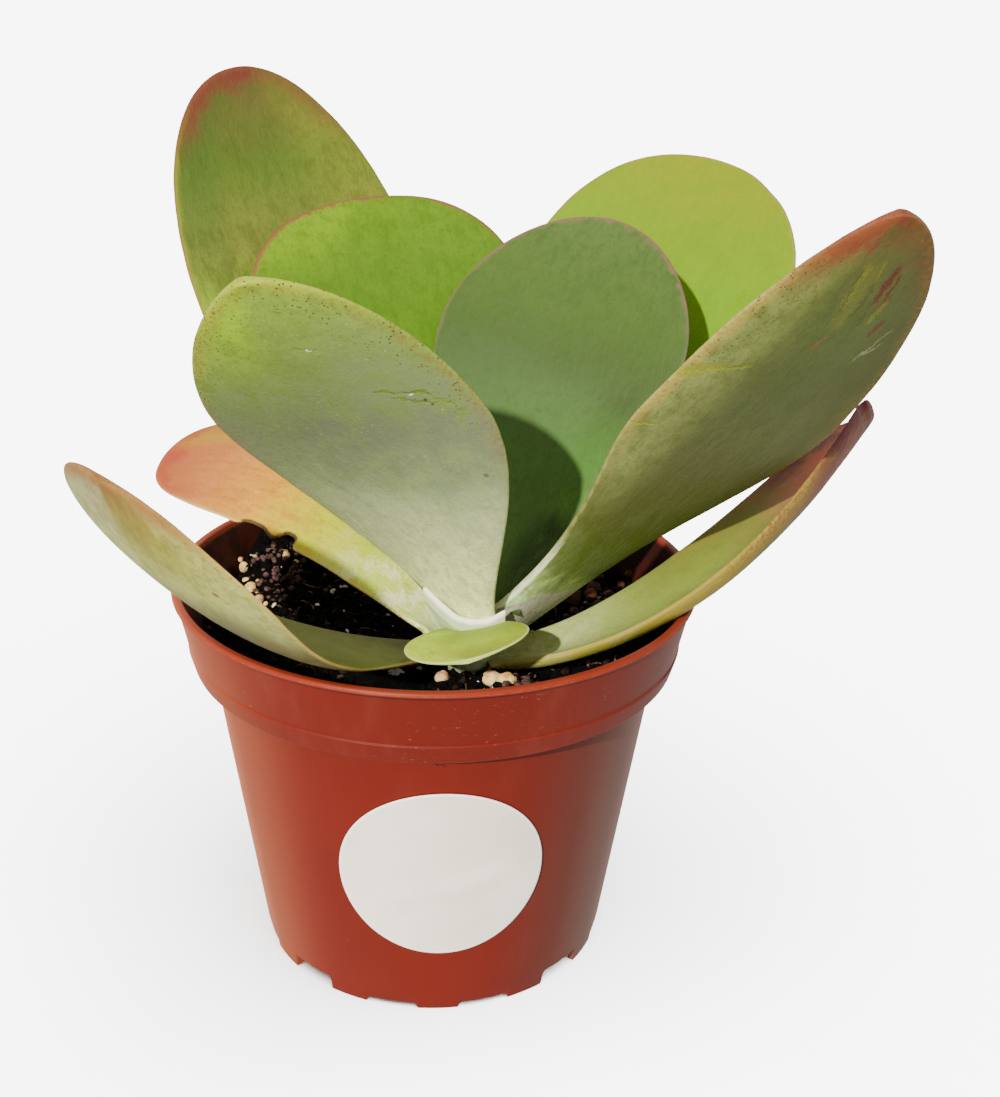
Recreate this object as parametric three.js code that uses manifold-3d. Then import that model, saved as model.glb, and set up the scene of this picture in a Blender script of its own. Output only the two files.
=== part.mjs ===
// A paddle plant in a round nursery pot.
// Millimetres, +Z up, the pot's feet stand on z = 0, and the front of the pot faces -Y.
// Headings are degrees anticlockwise from +X, so -90 points to the front.

import * as THREE from "three";
import { mergeVertices } from "three/addons/utils/BufferGeometryUtils.js";
import Module from "manifold-3d";

const manifold = await Module();
manifold.setup();

// Pot
const RIM_RADIUS = 50;
const POT_HEIGHT = 76.2;
const COLLAR_HEIGHT = 15.3;
const COLLAR_FOOT_RADIUS = 46.3;
const COLLAR_LINE_HEIGHT = 3.6;
const COLLAR_LINE_STEP = 0.25;
const LIP_HEIGHT = 0.9;
const LIP_PROUD = 0.45;
const BODY_TOP_RADIUS = 43;
const BASE_RADIUS = 34;
const WALL = 1.2;
const FLOOR_UNDERSIDE = 3.4;
const FLOOR_THICKNESS = 1.4;
const POT_SIDES = 72;

// Feet: twelve, cut out of the skirt, with a deep drain notch in every third gap
const FOOT_COUNT = 12;
const GAP_ANGLE = 16;
const GAP_HEIGHT = 1.3;
const DRAIN_HEIGHT = 3;
const POT_TURN = 1.5;

// Sticker on the front of the pot, wrapped on its wall
const LABEL_RADIUS = 19;
const LABEL_HEIGHT = 33.6;
const LABEL_TURN = 2.1;
const LABEL_THICKNESS = 0.3;
const LABEL_GAP = 0.15;
const LABEL_STRIPS = 40;

// Soil
const SOIL_GAP = 0.3;
const SOIL_LEVEL = 63.6;
const SOIL_BACK_RISE = 3.5;
const SOIL_MOUND = { heading: 137, reach: 45, width: 9.5, height: 10.5 };
const SOIL_SWELL = { x: 11.5, y: -29, across: 8.5, along: 10, height: 4.3 };
const SOIL_CREST = 74.6;
const CRUMB_HEIGHT = 0.7;
const SOIL_RINGS = 13;
const SOIL_SIDES = 52;

// Stem, standing in a plain hole in the soil
const STEM = { x: 6, y: -13, bottom: 50, top: 82, radius: 4.2 };
const STEM_SIDES = 22;
const STEM_STATIONS = 14;
const STEM_JOINT_PITCH = 7;
const FIT_GAP = 0.3;

// Rim of the sheath where the two upper leaves join in front of the stem
const SHEATH_RIM = [
  [-2, -17.5, 81],
  [1.6, -19.8, 78.4],
  [4.6, -21.2, 76.7],
  [9, -21.7, 76.5],
  [12.6, -20.9, 78],
];
const SHEATH_STATIONS = 14;
const SHEATH_HALF_WALL = 0.75;
const SHEATH_ROOT = { radius: 3, low: 66.5, high: 70 };

// Leaf blades
const BLADE_STATIONS = 20;
const BLADE_SECTION = 16;
const BLADE_THICKNESS = 2.6;
const TIP_THICKNESS = 1.7;
const EDGE_ROUNDNESS = 2.7;
const CENTRE_STEPS = 160;
const CLASP_LENGTH = 0.09;

const degrees = THREE.MathUtils.degToRad;
const { clamp, lerp } = THREE.MathUtils;

function radial(heading, radius, z, centre = { x: 0, y: 0 }) {
  const a = degrees(heading);
  return new THREE.Vector3(centre.x + radius * Math.cos(a), centre.y + radius * Math.sin(a), z);
}

function seeded(seed) {
  let state = seed >>> 0;
  return () => {
    state = (Math.imul(state, 1664525) + 1013904223) >>> 0;
    return state / 4294967296;
  };
}

// Closed meshes and solids

function indexed(points, faces) {
  const geometry = new THREE.BufferGeometry();
  const flat = points.flatMap((p) => [p.x, p.y, p.z]);
  geometry.setAttribute("position", new THREE.Float32BufferAttribute(flat, 3));
  geometry.setIndex(faces.flat());
  return geometry;
}

// Rings of equal count, joined one to the next, each end closed by a fan
function loft(rings) {
  const count = rings[0].length;
  const points = rings.flat();
  const faces = [];
  for (let i = 0; i + 1 < rings.length; i += 1) {
    for (let j = 0; j < count; j += 1) {
      const a = i * count + j;
      const b = i * count + ((j + 1) % count);
      faces.push([a, b, b + count], [a, b + count, a + count]);
    }
  }
  const middle = (ring) => ring.reduce((sum, p) => sum.add(p), new THREE.Vector3()).divideScalar(count);
  const start = points.push(middle(rings[0])) - 1;
  const end = points.push(middle(rings.at(-1))) - 1;
  const last = (rings.length - 1) * count;
  for (let j = 0; j < count; j += 1) {
    const k = (j + 1) % count;
    faces.push([start, k, j], [end, last + j, last + k]);
  }
  return indexed(points, faces);
}

// The same shape with nothing but positions
function bare(geometry) {
  const plain = geometry.clone();
  for (const name of Object.keys(plain.attributes)) {
    if (name !== "position") plain.deleteAttribute(name);
  }
  return plain;
}

function solid(geometry) {
  const closed = mergeVertices(bare(geometry), 1e-4);
  const mesh = new manifold.Mesh({
    numProp: 3,
    vertProperties: new Float32Array(closed.attributes.position.array),
    triVerts: new Uint32Array(closed.index.array),
  });
  const made = new manifold.Manifold(mesh);
  return made.volume() > 0 ? made : new manifold.Manifold(flipped(mesh));
}

function flipped(mesh) {
  const turned = mesh.triVerts.slice();
  for (let i = 0; i < turned.length; i += 3) {
    turned[i + 1] = mesh.triVerts[i + 2];
    turned[i + 2] = mesh.triVerts[i + 1];
  }
  return new manifold.Mesh({ numProp: 3, vertProperties: mesh.vertProperties, triVerts: turned });
}

// The largest piece of a cut solid
function shaped(cut) {
  const pieces = cut.decompose();
  const largest = pieces.reduce((best, piece) => (piece.volume() > best.volume() ? piece : best));
  const mesh = largest.getMesh();
  const geometry = new THREE.BufferGeometry();
  geometry.setAttribute("position", new THREE.BufferAttribute(mesh.vertProperties, 3));
  geometry.setIndex(new THREE.BufferAttribute(mesh.triVerts, 1));
  return geometry;
}

// A profile of radii and heights, turned about the upright axis
function lathed(profile, sides) {
  const outline = profile.map(([r, z]) => new THREE.Vector2(r, z));
  const geometry = new THREE.LatheGeometry(outline, sides);
  return geometry.rotateX(Math.PI / 2);
}

// Pot

const COLLAR_FOOT = POT_HEIGHT - COLLAR_HEIGHT;

function wallRadius(z) {
  return lerp(BASE_RADIUS, BODY_TOP_RADIUS, z / COLLAR_FOOT);
}

function collarRadius(z) {
  return lerp(COLLAR_FOOT_RADIUS, RIM_RADIUS - LIP_PROUD, (z - COLLAR_FOOT) / COLLAR_HEIGHT);
}

function potInside(z) {
  const shelf = COLLAR_FOOT + WALL;
  return z < shelf ? wallRadius(z) - WALL : collarRadius(z) - WALL;
}

function potProfile() {
  const floorTop = FLOOR_UNDERSIDE + FLOOR_THICKNESS;
  const shelf = COLLAR_FOOT + WALL;
  const line = COLLAR_FOOT + COLLAR_LINE_HEIGHT;
  const lip = POT_HEIGHT - LIP_HEIGHT;
  return [
    [0, FLOOR_UNDERSIDE],
    [wallRadius(FLOOR_UNDERSIDE) - WALL, FLOOR_UNDERSIDE],
    [BASE_RADIUS - WALL, 0],
    [BASE_RADIUS, 0],
    [wallRadius(COLLAR_FOOT), COLLAR_FOOT],
    [COLLAR_FOOT_RADIUS, COLLAR_FOOT],
    [collarRadius(line) + COLLAR_LINE_STEP, line],
    [collarRadius(line), line + COLLAR_LINE_STEP],
    [collarRadius(lip - LIP_PROUD), lip - LIP_PROUD],
    [RIM_RADIUS, lip],
    [RIM_RADIUS - 0.2, POT_HEIGHT - 0.15],
    [RIM_RADIUS - 0.5, POT_HEIGHT],
    [collarRadius(POT_HEIGHT) - WALL + 0.3, POT_HEIGHT],
    [collarRadius(POT_HEIGHT) - WALL, POT_HEIGHT - 0.3],
    [collarRadius(shelf) - WALL, shelf],
    [wallRadius(shelf) - WALL, shelf],
    [wallRadius(floorTop) - WALL, floorTop],
    [0, floorTop],
  ];
}

// A wedge that takes one gap between feet out of the skirt
function gapWedge(heading, height) {
  const inner = BASE_RADIUS - 3 * WALL;
  const outer = BASE_RADIUS + 3 * WALL;
  const half = GAP_ANGLE / 2;
  const ring = (z) => [
    radial(heading - half, inner, z),
    radial(heading - half, outer, z),
    radial(heading, outer / Math.cos(degrees(half)), z),
    radial(heading + half, outer, z),
    radial(heading + half, inner, z),
  ];
  return solid(loft([ring(-1), ring(height)]));
}

function pot() {
  let body = solid(lathed(potProfile(), POT_SIDES));
  const pitch = 360 / FOOT_COUNT;
  for (let i = 0; i < FOOT_COUNT; i += 1) {
    const heading = -90 + POT_TURN + (i + 0.5) * pitch;
    const deep = i % 3 === 1;
    body = body.subtract(gapWedge(heading, deep ? DRAIN_HEIGHT : GAP_HEIGHT));
  }
  return shaped(body);
}

// Sticker: a disc bent round the wall cone, thin and even

function label() {
  const slope = (BODY_TOP_RADIUS - BASE_RADIUS) / COLLAR_FOOT;
  const tilt = Math.hypot(1, slope);
  const at = (along, up, lift) => {
    const z = LABEL_HEIGHT + up / tilt;
    const turn = THREE.MathUtils.radToDeg(along / wallRadius(z));
    return radial(-90 + LABEL_TURN + turn, wallRadius(z) + lift, z);
  };
  const rings = [];
  for (let i = 0; i <= LABEL_STRIPS; i += 1) {
    const a = Math.PI * clamp(i / LABEL_STRIPS, 0.01, 0.99);
    const along = -LABEL_RADIUS * Math.cos(a);
    const up = LABEL_RADIUS * Math.sin(a);
    const front = LABEL_GAP + LABEL_THICKNESS;
    rings.push([
      at(along, -up, LABEL_GAP),
      at(along, up, LABEL_GAP),
      at(along, up, front),
      at(along, -up, front),
    ]);
  }
  return loft(rings);
}

// Soil: fills the pot, its top raised by a formula

function soilTop(x, y) {
  const r = Math.hypot(x, y);
  const mound = radial(SOIL_MOUND.heading, SOIL_MOUND.reach, 0);
  const off = Math.hypot(x - mound.x, y - mound.y) / SOIL_MOUND.width;
  const swell = Math.hypot((x - SOIL_SWELL.x) / SOIL_SWELL.across, (y - SOIL_SWELL.y) / SOIL_SWELL.along);
  const rise =
    SOIL_MOUND.height * Math.exp(-off * off) +
    SOIL_SWELL.height * Math.exp(-swell * swell) +
    (SOIL_BACK_RISE * y) / RIM_RADIUS;
  const crumbs =
    Math.sin(x * 0.9 + 1.3 * Math.sin(y * 0.55)) * Math.cos(y * 0.8 + 0.9 * Math.sin(x * 0.6)) +
    0.5 * Math.sin(x * 1.9 + y * 1.1) * Math.cos(y * 1.7 - x * 0.8);
  const height = SOIL_LEVEL + rise + CRUMB_HEIGHT * crumbs * clamp(r / 12, 0.3, 1);
  return Math.min(height, SOIL_CREST);
}

function soilBody() {
  const bottom = FLOOR_UNDERSIDE + FLOOR_THICKNESS + SOIL_GAP;
  const shelf = COLLAR_FOOT + WALL;
  const topRadius = potInside(shelf) - SOIL_GAP;
  const neck = wallRadius(shelf) - WALL - SOIL_GAP;
  const ring = (radius, height) => {
    const list = [];
    for (let j = 0; j < SOIL_SIDES; j += 1) {
      const p = radial((360 * j) / SOIL_SIDES, radius, 0);
      p.z = height ?? Math.max(soilTop(p.x, p.y), shelf + 2 * SOIL_GAP);
      list.push(p);
    }
    return list;
  };
  const rings = [
    ring(potInside(bottom) - SOIL_GAP, bottom),
    ring(neck, shelf),
    ring(neck, shelf + SOIL_GAP),
    ring(topRadius, shelf + SOIL_GAP),
  ];
  for (let i = SOIL_RINGS; i > 0; i -= 1) rings.push(ring((topRadius * i) / SOIL_RINGS));
  return loft(rings);
}

// Stem: a short column with a slight swelling where each pair of leaves sits

function stemRadius(z) {
  const swell = 0.35 * Math.cos(((z - STEM.bottom) / STEM_JOINT_PITCH) * Math.PI * 2);
  const foot = z < SOIL_LEVEL ? 0.3 : 0;
  return STEM.radius + swell - foot;
}

function stem(grow = 0) {
  const profile = [[0, STEM.bottom - grow]];
  for (let i = 0; i <= STEM_STATIONS; i += 1) {
    const z = lerp(STEM.bottom - grow, STEM.top, i / STEM_STATIONS);
    profile.push([stemRadius(z) + grow, z]);
  }
  profile.push([STEM.radius * 0.55 + grow, STEM.top + 1.6 + grow]);
  profile.push([0, STEM.top + 2.2 + grow]);
  return lathed(profile, STEM_SIDES).translate(STEM.x, STEM.y, 0);
}

// The sheath: a curved wall that leans out from the stem and ends in a thick rim
function sheath(grow = 0) {
  const rim = new THREE.CatmullRomCurve3(SHEATH_RIM.map((p) => new THREE.Vector3(...p)));
  const rings = [];
  for (let i = 0; i <= SHEATH_STATIONS; i += 1) {
    const part = i / SHEATH_STATIONS;
    const top = rim.getPoint(part);
    const heading = THREE.MathUtils.radToDeg(Math.atan2(top.y - STEM.y, top.x - STEM.x));
    const out = Math.hypot(top.x - STEM.x, top.y - STEM.y);
    const wall = SHEATH_HALF_WALL * (0.45 + 0.55 * Math.sin(Math.PI * part)) + grow;
    const section = [
      [SHEATH_ROOT.radius, SHEATH_ROOT.low - grow],
      [out + 0.8 * wall, top.z - 2.6],
      [out + wall, top.z - wall],
      [out, top.z + grow],
      [out - wall, top.z - wall],
      [out - 0.9 * wall, top.z - 2.8],
      [SHEATH_ROOT.radius, SHEATH_ROOT.high + grow],
    ];
    rings.push(section.map(([r, z]) => radial(heading, r, z, STEM)));
  }
  return loft(rings);
}

// Leaf blades

const BLADE = {
  turn: 0,
  roll: 0,
  rollTip: 0,
  baseWidth: 10,
  widest: 0.63,
  tipRound: 2.1,
  shoulder: 1.25,
  clasp: 50,
  cup: 7,
  bow: 0,
  skew: 0,
  fleshy: 1,
  dents: [],
};

// Half the width at part s of the length, from the narrow base to the round tip
function halfWidth(leaf, s) {
  const base = leaf.baseWidth / 2;
  const full = leaf.width / 2;
  if (s <= leaf.widest) {
    const grow = Math.sin((Math.PI / 2) * (s / leaf.widest) ** leaf.shoulder);
    return base + (full - base) * grow;
  }
  const past = (s - leaf.widest) / (1 - leaf.widest);
  return full * clamp(1 - past ** leaf.tipRound, 0, 1) ** (1 / leaf.tipRound);
}

// Half the width on one side, less its dents; a dent of negative depth is a bulge
function sideWidth(leaf, s, side) {
  const dented = leaf.dents
    .filter((dent) => dent.side === side)
    .reduce((sum, dent) => sum + dent.depth * Math.exp(-(((s - dent.at) / dent.reach) ** 2)), 0);
  return Math.max(halfWidth(leaf, s) * (1 + side * leaf.skew) - dented, 0.02);
}

// The blade's middle line with its own three directions, at even steps
function middleLine(leaf) {
  const line = [];
  const at = radial(leaf.base.heading, leaf.base.reach, leaf.base.height, STEM);
  const step = leaf.length / CENTRE_STEPS;
  let before = null;
  for (let i = 0; i <= CENTRE_STEPS; i += 1) {
    const s = i / CENTRE_STEPS;
    const heading = degrees(leaf.heading + leaf.turn * s);
    const rise = degrees(lerp(leaf.rise, leaf.riseTip, s));
    const roll = degrees(lerp(leaf.roll, leaf.rollTip, s));
    const along = new THREE.Vector3(
      Math.cos(rise) * Math.cos(heading),
      Math.cos(rise) * Math.sin(heading),
      Math.sin(rise),
    );
    const level = new THREE.Vector3(Math.sin(heading), -Math.cos(heading), 0);
    const over = new THREE.Vector3().crossVectors(level, along);
    const across = level.clone().multiplyScalar(Math.cos(roll)).addScaledVector(over, Math.sin(roll));
    const up = over.clone().multiplyScalar(Math.cos(roll)).addScaledVector(level, -Math.sin(roll));
    if (before) at.addScaledVector(along, step / 2).addScaledVector(before, step / 2);
    before = along;
    line.push({ at: at.clone(), across, up });
  }
  return line;
}

function onLine(line, s) {
  const place = s * CENTRE_STEPS;
  const i = Math.min(Math.floor(place), CENTRE_STEPS - 1);
  const part = place - i;
  const mix = (key) => line[i][key].clone().lerp(line[i + 1][key], part);
  return { at: mix("at"), across: mix("across").normalize(), up: mix("up").normalize() };
}

function power(value, exponent) {
  return Math.sign(value) * Math.abs(value) ** exponent;
}

// One closed ring round the blade, with rounded edges, bent by the cup
function bladeRing(leaf, line, s, grow) {
  const { at, across, up } = onLine(line, s);
  const cup = degrees(leaf.cup + (leaf.clasp - leaf.cup) * Math.exp(-s / CLASP_LENGTH));
  const widths = { 1: sideWidth(leaf, s, 1), "-1": sideWidth(leaf, s, -1) };
  const mean = halfWidth(leaf, s);
  const middle = at.addScaledVector(across, leaf.bow * 4 * s * (1 - s));
  const full = (leaf.fleshy * lerp(BLADE_THICKNESS, TIP_THICKNESS, s)) / 2;
  const thick = Math.min(full, 0.12 + mean * 0.55) + grow;
  const ring = [];
  for (let j = 0; j < BLADE_SECTION; j += 1) {
    const angle = (j / BLADE_SECTION) * Math.PI * 2;
    const v = power(Math.cos(angle), 2 / EDGE_ROUNDNESS);
    const w = power(Math.sin(angle), 2 / EDGE_ROUNDNESS);
    const reach = widths[v < 0 ? -1 : 1] + grow;
    const sideways = (reach * Math.sin(v * cup)) / cup;
    const raised = (mean * (1 - Math.cos(v * cup))) / cup;
    const p = middle.clone().addScaledVector(across, sideways).addScaledVector(up, raised);
    p.addScaledVector(up, w * thick * Math.cos(v * cup));
    p.addScaledVector(across, -w * thick * Math.sin(v * cup));
    ring.push(p);
  }
  return ring;
}

function blade(leaf, grow = 0) {
  const line = middleLine(leaf);
  const rings = [];
  for (let i = 0; i <= BLADE_STATIONS; i += 1) {
    const s = 1 - (1 - i / BLADE_STATIONS) ** 1.7;
    rings.push(bladeRing(leaf, line, Math.min(s, 0.9985), grow));
  }
  return loft(rings);
}

const LEAVES = [
  {
    name: "leaf_back_left_tall",
    color: 0x7f9a3c,
    base: { heading: 128, reach: 5.2, height: 75.5 },
    heading: 122,
    turn: 2,
    rise: 34,
    riseTip: 62,
    roll: 10,
    rollTip: -7,
    length: 118,
    width: 51.5,
  },
  {
    name: "leaf_back_left_broad",
    color: 0x7ea033,
    base: { heading: 112, reach: 5.2, height: 79 },
    heading: 107,
    turn: 6,
    rise: 45,
    riseTip: 49,
    roll: -3,
    rollTip: 6,
    length: 81.5,
    width: 56.5,
    widest: 0.66,
    tipRound: 2.4,
  },
  {
    name: "leaf_front_left",
    color: 0x98a67a,
    base: { heading: -95, reach: 5.2, height: 75 },
    heading: 226,
    turn: 1,
    rise: 66,
    riseTip: 44,
    roll: -7,
    rollTip: -28,
    length: 86.5,
    width: 53.5,
    baseWidth: 12,
    widest: 0.56,
    tipRound: 1.5,
    shoulder: 1.2,
    clasp: 35,
    bow: 4,
  },
  {
    name: "leaf_centre",
    color: 0x75924f,
    base: { heading: 68, reach: 5.2, height: 82.5 },
    heading: 54,
    turn: -4,
    rise: 54,
    riseTip: 54,
    roll: -13,
    rollTip: -7,
    length: 70,
    width: 50.5,
    tipRound: 1.9,
    dents: [{ side: 1, at: 0.06, reach: 0.16, depth: -9.5 }],
  },
  {
    name: "leaf_right_long",
    color: 0x7d8550,
    base: { heading: -14, reach: 7, height: 72 },
    heading: -20,
    turn: -31,
    rise: 49,
    riseTip: 54,
    roll: 37,
    rollTip: 16,
    length: 108,
    width: 45.5,
    baseWidth: 13,
    widest: 0.54,
    tipRound: 1.7,
    shoulder: 2.3,
    clasp: 40,
    skew: -0.3,
  },
  {
    name: "leaf_back_right",
    color: 0xa2bb38,
    base: { heading: 50, reach: 5.2, height: 71.5 },
    heading: 52,
    turn: -2,
    rise: 40,
    riseTip: 51,
    roll: -7,
    rollTip: -10,
    length: 105.5,
    width: 58.5,
    tipRound: 2.3,
    dents: [{ side: 1, at: 0.965, reach: 0.02, depth: 0.6 }],
  },
  {
    name: "leaf_left_low",
    color: 0xcf9460,
    base: { heading: 165, reach: 5.2, height: 71.5 },
    heading: 144,
    turn: 14,
    rise: 36,
    riseTip: 1,
    roll: 17,
    rollTip: 20,
    length: 66.5,
    width: 29.5,
    baseWidth: 15,
    widest: 0.62,
    tipRound: 2.5,
    shoulder: 1.05,
    clasp: 60,
    bow: 3.5,
    fleshy: 0.8,
  },
  {
    name: "leaf_left_lowest",
    color: 0x9fae5c,
    base: { heading: 190, reach: 5.2, height: 65 },
    heading: 207,
    turn: 39,
    rise: 8,
    riseTip: 66,
    roll: -12,
    rollTip: 19,
    length: 92,
    width: 47.5,
    baseWidth: 10.5,
    widest: 0.74,
    tipRound: 1.8,
    shoulder: 1.05,
    clasp: 45,
    cup: 16,
    bow: -1,
    fleshy: 0.6,
  },
  {
    name: "leaf_right_lowest",
    color: 0x94994a,
    base: { heading: -5, reach: 5.2, height: 63.7 },
    heading: 11.6,
    turn: 28.5,
    rise: 15.1,
    riseTip: 31.2,
    roll: -4.7,
    rollTip: 48,
    length: 92.5,
    width: 27.2,
    baseWidth: 9,
    widest: 0.66,
    tipRound: 3.3,
    shoulder: 1.1,
    clasp: 60,
    cup: 48,
    bow: 12.5,
  },
  {
    name: "leaf_front_small",
    color: 0xa9c25a,
    base: { heading: -92, reach: 5.4, height: 73.1 },
    heading: -91,
    rise: 10.5,
    riseTip: 9,
    roll: -9,
    rollTip: -13,
    length: 20.8,
    width: 22.4,
    baseWidth: 6,
    widest: 0.49,
    tipRound: 2.15,
    shoulder: 0.7,
    clasp: 14,
    cup: 8,
    fleshy: 0.45,
  },
].map((leaf) => ({ ...BLADE, ...leaf }));

// Stones on the soil, each with its place, half sizes, turn and seed
const STONES = [
  {
    name: "stone_cream",
    color: 0xd8cba0,
    at: { x: 11.5, y: -26.3 },
    size: [3.5, 2, 2],
    turn: -6,
    seed: 11,
  },
  {
    name: "stone_white",
    color: 0xe6e2cf,
    at: { x: -7.2, y: -16 },
    size: [1.9, 1.3, 1.1],
    turn: -25,
    seed: 13,
  },
  {
    name: "stone_tan",
    color: 0xcfa980,
    at: { x: 1.2, y: -18.7 },
    size: [1.6, 1.3, 1.3],
    turn: 40,
    seed: 14,
  },
  {
    name: "stone_left_upper",
    color: 0xc9b7a0,
    at: { x: -39.2, y: 20.4 },
    size: [1, 1, 1.2],
    turn: 10,
    seed: 15,
  },
  {
    name: "stone_left_middle",
    color: 0xbfb3a6,
    at: { x: -37.4, y: 15.6 },
    size: [1.4, 1.2, 1.3],
    turn: 60,
    seed: 16,
  },
  {
    name: "stone_left_lower",
    color: 0xcdb084,
    at: { x: -35.3, y: 11.4 },
    size: [1.2, 1, 1],
    turn: 30,
    seed: 17,
  },
  {
    name: "stone_right_near",
    color: 0x7a5742,
    at: { x: 27.5, y: 11.5 },
    size: [2.1, 1.8, 2],
    turn: 20,
    seed: 19,
  },
  {
    name: "stone_right_far",
    color: 0x86624a,
    at: { x: 32.3, y: 16.2 },
    size: [2, 1.8, 2],
    turn: 70,
    seed: 20,
  },
];
const STONE_ROUGHNESS = 0.16;
const STONE_SUNK = 0.3;

function stone({ at, size, turn, seed }, grow = 0) {
  const ball = mergeVertices(bare(new THREE.IcosahedronGeometry(1, 1)), 1e-4);
  const random = seeded(seed);
  const place = ball.attributes.position;
  const p = new THREE.Vector3();
  for (let i = 0; i < place.count; i += 1) {
    p.fromBufferAttribute(place, i).multiplyScalar(1 - STONE_ROUGHNESS * random());
    place.setXYZ(i, p.x * (size[0] + grow), p.y * (size[1] + grow), p.z * (size[2] + grow));
  }
  const height = soilTop(at.x, at.y) + size[2] * (1 - 2 * STONE_SUNK);
  return ball.rotateZ(degrees(turn)).translate(at.x, at.y, height);
}

// Assembly

// How each blade gives way: it is cut clear of the pieces named, by the fit gap
const GIVES_WAY = {
  leaf_left_low: ["leaf_back_left_tall", "leaf_back_right"],
  leaf_back_left_tall: ["leaf_back_left_broad"],
  leaf_centre: ["leaf_right_long"],
};

// Leaves whose base lies in a shallow furrow of the soil
const LIES_IN_SOIL = ["leaf_right_lowest"];

const stemSolid = solid(stem()).add(solid(sheath()));
const stemRoom = solid(stem(FIT_GAP)).add(solid(sheath(FIT_GAP)));
const blades = new Map(LEAVES.map((leaf) => [leaf.name, solid(blade(leaf))]));

function clearedBlade(leaf) {
  let cut = blades.get(leaf.name).subtract(stemRoom);
  for (const other of GIVES_WAY[leaf.name] ?? []) {
    const wide = LEAVES.find((candidate) => candidate.name === other);
    cut = cut.subtract(solid(blade(wide, FIT_GAP)));
  }
  return shaped(cut);
}

function soil() {
  let bed = solid(soilBody()).subtract(stemRoom);
  for (const each of STONES) bed = bed.subtract(solid(stone(each, FIT_GAP)));
  for (const each of LEAVES) {
    if (LIES_IN_SOIL.includes(each.name)) bed = bed.subtract(solid(blade(each, FIT_GAP)));
  }
  return shaped(bed);
}

function piece(name, geometry, color, roughness) {
  const material = new THREE.MeshStandardMaterial({ color, roughness, metalness: 0 });
  const mesh = new THREE.Mesh(geometry, material);
  mesh.name = name;
  return mesh;
}

const plant = new THREE.Group();
plant.add(piece("pot", pot(), 0xa0402a, 0.45));
plant.add(piece("label", label(), 0xe4e2e2, 0.6));
plant.add(piece("soil", soil(), 0x1c1512, 0.95));
plant.add(piece("stem", shaped(stemSolid), 0x8a9464, 0.6));
for (const leaf of LEAVES) plant.add(piece(leaf.name, clearedBlade(leaf), leaf.color, 0.5));
for (const each of STONES) plant.add(piece(each.name, stone(each), each.color, 0.9));

// The origin lies under the middle of the whole plant's outline
const outline = new THREE.Box3().setFromObject(plant);
const middle = outline.getCenter(new THREE.Vector3());
plant.position.set(-middle.x, -middle.y, 0);

const whole = new THREE.Group();
whole.add(plant);
export default whole;
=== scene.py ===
# A paddle plant in a round nursery pot, dressed for rendering.
# Lengths in the tables are millimetres and angles are degrees, as in the part's own drawing.

import math
import random

import bmesh
import bpy
import numpy as np
from mathutils import Matrix, Vector


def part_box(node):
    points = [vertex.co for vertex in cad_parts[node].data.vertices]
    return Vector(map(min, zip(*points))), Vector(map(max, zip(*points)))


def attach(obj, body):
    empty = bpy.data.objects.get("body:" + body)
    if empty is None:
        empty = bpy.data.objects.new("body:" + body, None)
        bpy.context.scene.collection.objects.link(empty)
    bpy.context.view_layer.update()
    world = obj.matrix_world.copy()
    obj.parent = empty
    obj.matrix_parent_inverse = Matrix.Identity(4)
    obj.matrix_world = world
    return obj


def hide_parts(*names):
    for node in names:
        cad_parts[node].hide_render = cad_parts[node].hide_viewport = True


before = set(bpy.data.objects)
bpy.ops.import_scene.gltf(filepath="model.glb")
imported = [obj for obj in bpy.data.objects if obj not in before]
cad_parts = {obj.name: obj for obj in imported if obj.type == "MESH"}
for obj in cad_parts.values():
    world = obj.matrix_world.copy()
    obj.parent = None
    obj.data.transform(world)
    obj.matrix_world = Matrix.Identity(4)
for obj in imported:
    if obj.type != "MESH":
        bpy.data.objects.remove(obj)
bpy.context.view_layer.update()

bl_info = {
    "name": "Paddle plant in a nursery pot",
    "version": (1, 0, 0),
    "blender": (4, 5, 0),
    "location": "3D View > Sidebar > Paddle plant",
    "description": "Builds a potted paddle plant with its leaves, soil, stones, sticker and stage",
    "category": "Object",
}

MM = 0.001


def pot_axis():
    low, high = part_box("pot")
    return Vector(((low.x + high.x) / 2, (low.y + high.y) / 2, 0))


AXIS = pot_axis()


# Small tools

# Large odd numbers that scramble the bits of a lattice point, and masks that keep its low bits
AXIS_SCRAMBLE = (73856093, 19349663, 83492791)
SEED_SCRAMBLE = 2654435761
LAST_SCRAMBLE = 1274126177
LOW_32_BITS = 0xFFFFFFFF
LOW_24_BITS = 0xFFFFFF
OCTAVE_SHIFT = 17.3


def srgb(red, green, blue):
    """A colour given in the 0 to 255 steps of a screen, as the linear values that shaders take."""
    def linear(step):
        part = step / 255
        return part / 12.92 if part <= 0.04045 else ((part + 0.055) / 1.055) ** 2.4
    return (linear(red), linear(green), linear(blue), 1.0)


def lerp(low, high, part):
    return low + (high - low) * part


def smoothstep(low, high, value):
    part = np.clip((value - low) / (high - low), 0, 1)
    return part * part * (3 - 2 * part)


def lattice(points, seed):
    """A repeatable number from 0 to 1 for each whole-number point."""
    whole = points.astype(np.int64).astype(np.uint64)
    mixed = np.uint64(seed * SEED_SCRAMBLE % 2**32)
    for axis, scramble in enumerate(AXIS_SCRAMBLE):
        mixed = mixed ^ (whole[..., axis] * np.uint64(scramble))
    mixed = mixed & np.uint64(LOW_32_BITS)
    mixed = (mixed ^ (mixed >> np.uint64(13))) * np.uint64(LAST_SCRAMBLE)
    mixed = mixed & np.uint64(LOW_32_BITS)
    mixed = mixed ^ (mixed >> np.uint64(16))
    return (mixed & np.uint64(LOW_24_BITS)).astype(float) / LOW_24_BITS


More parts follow.
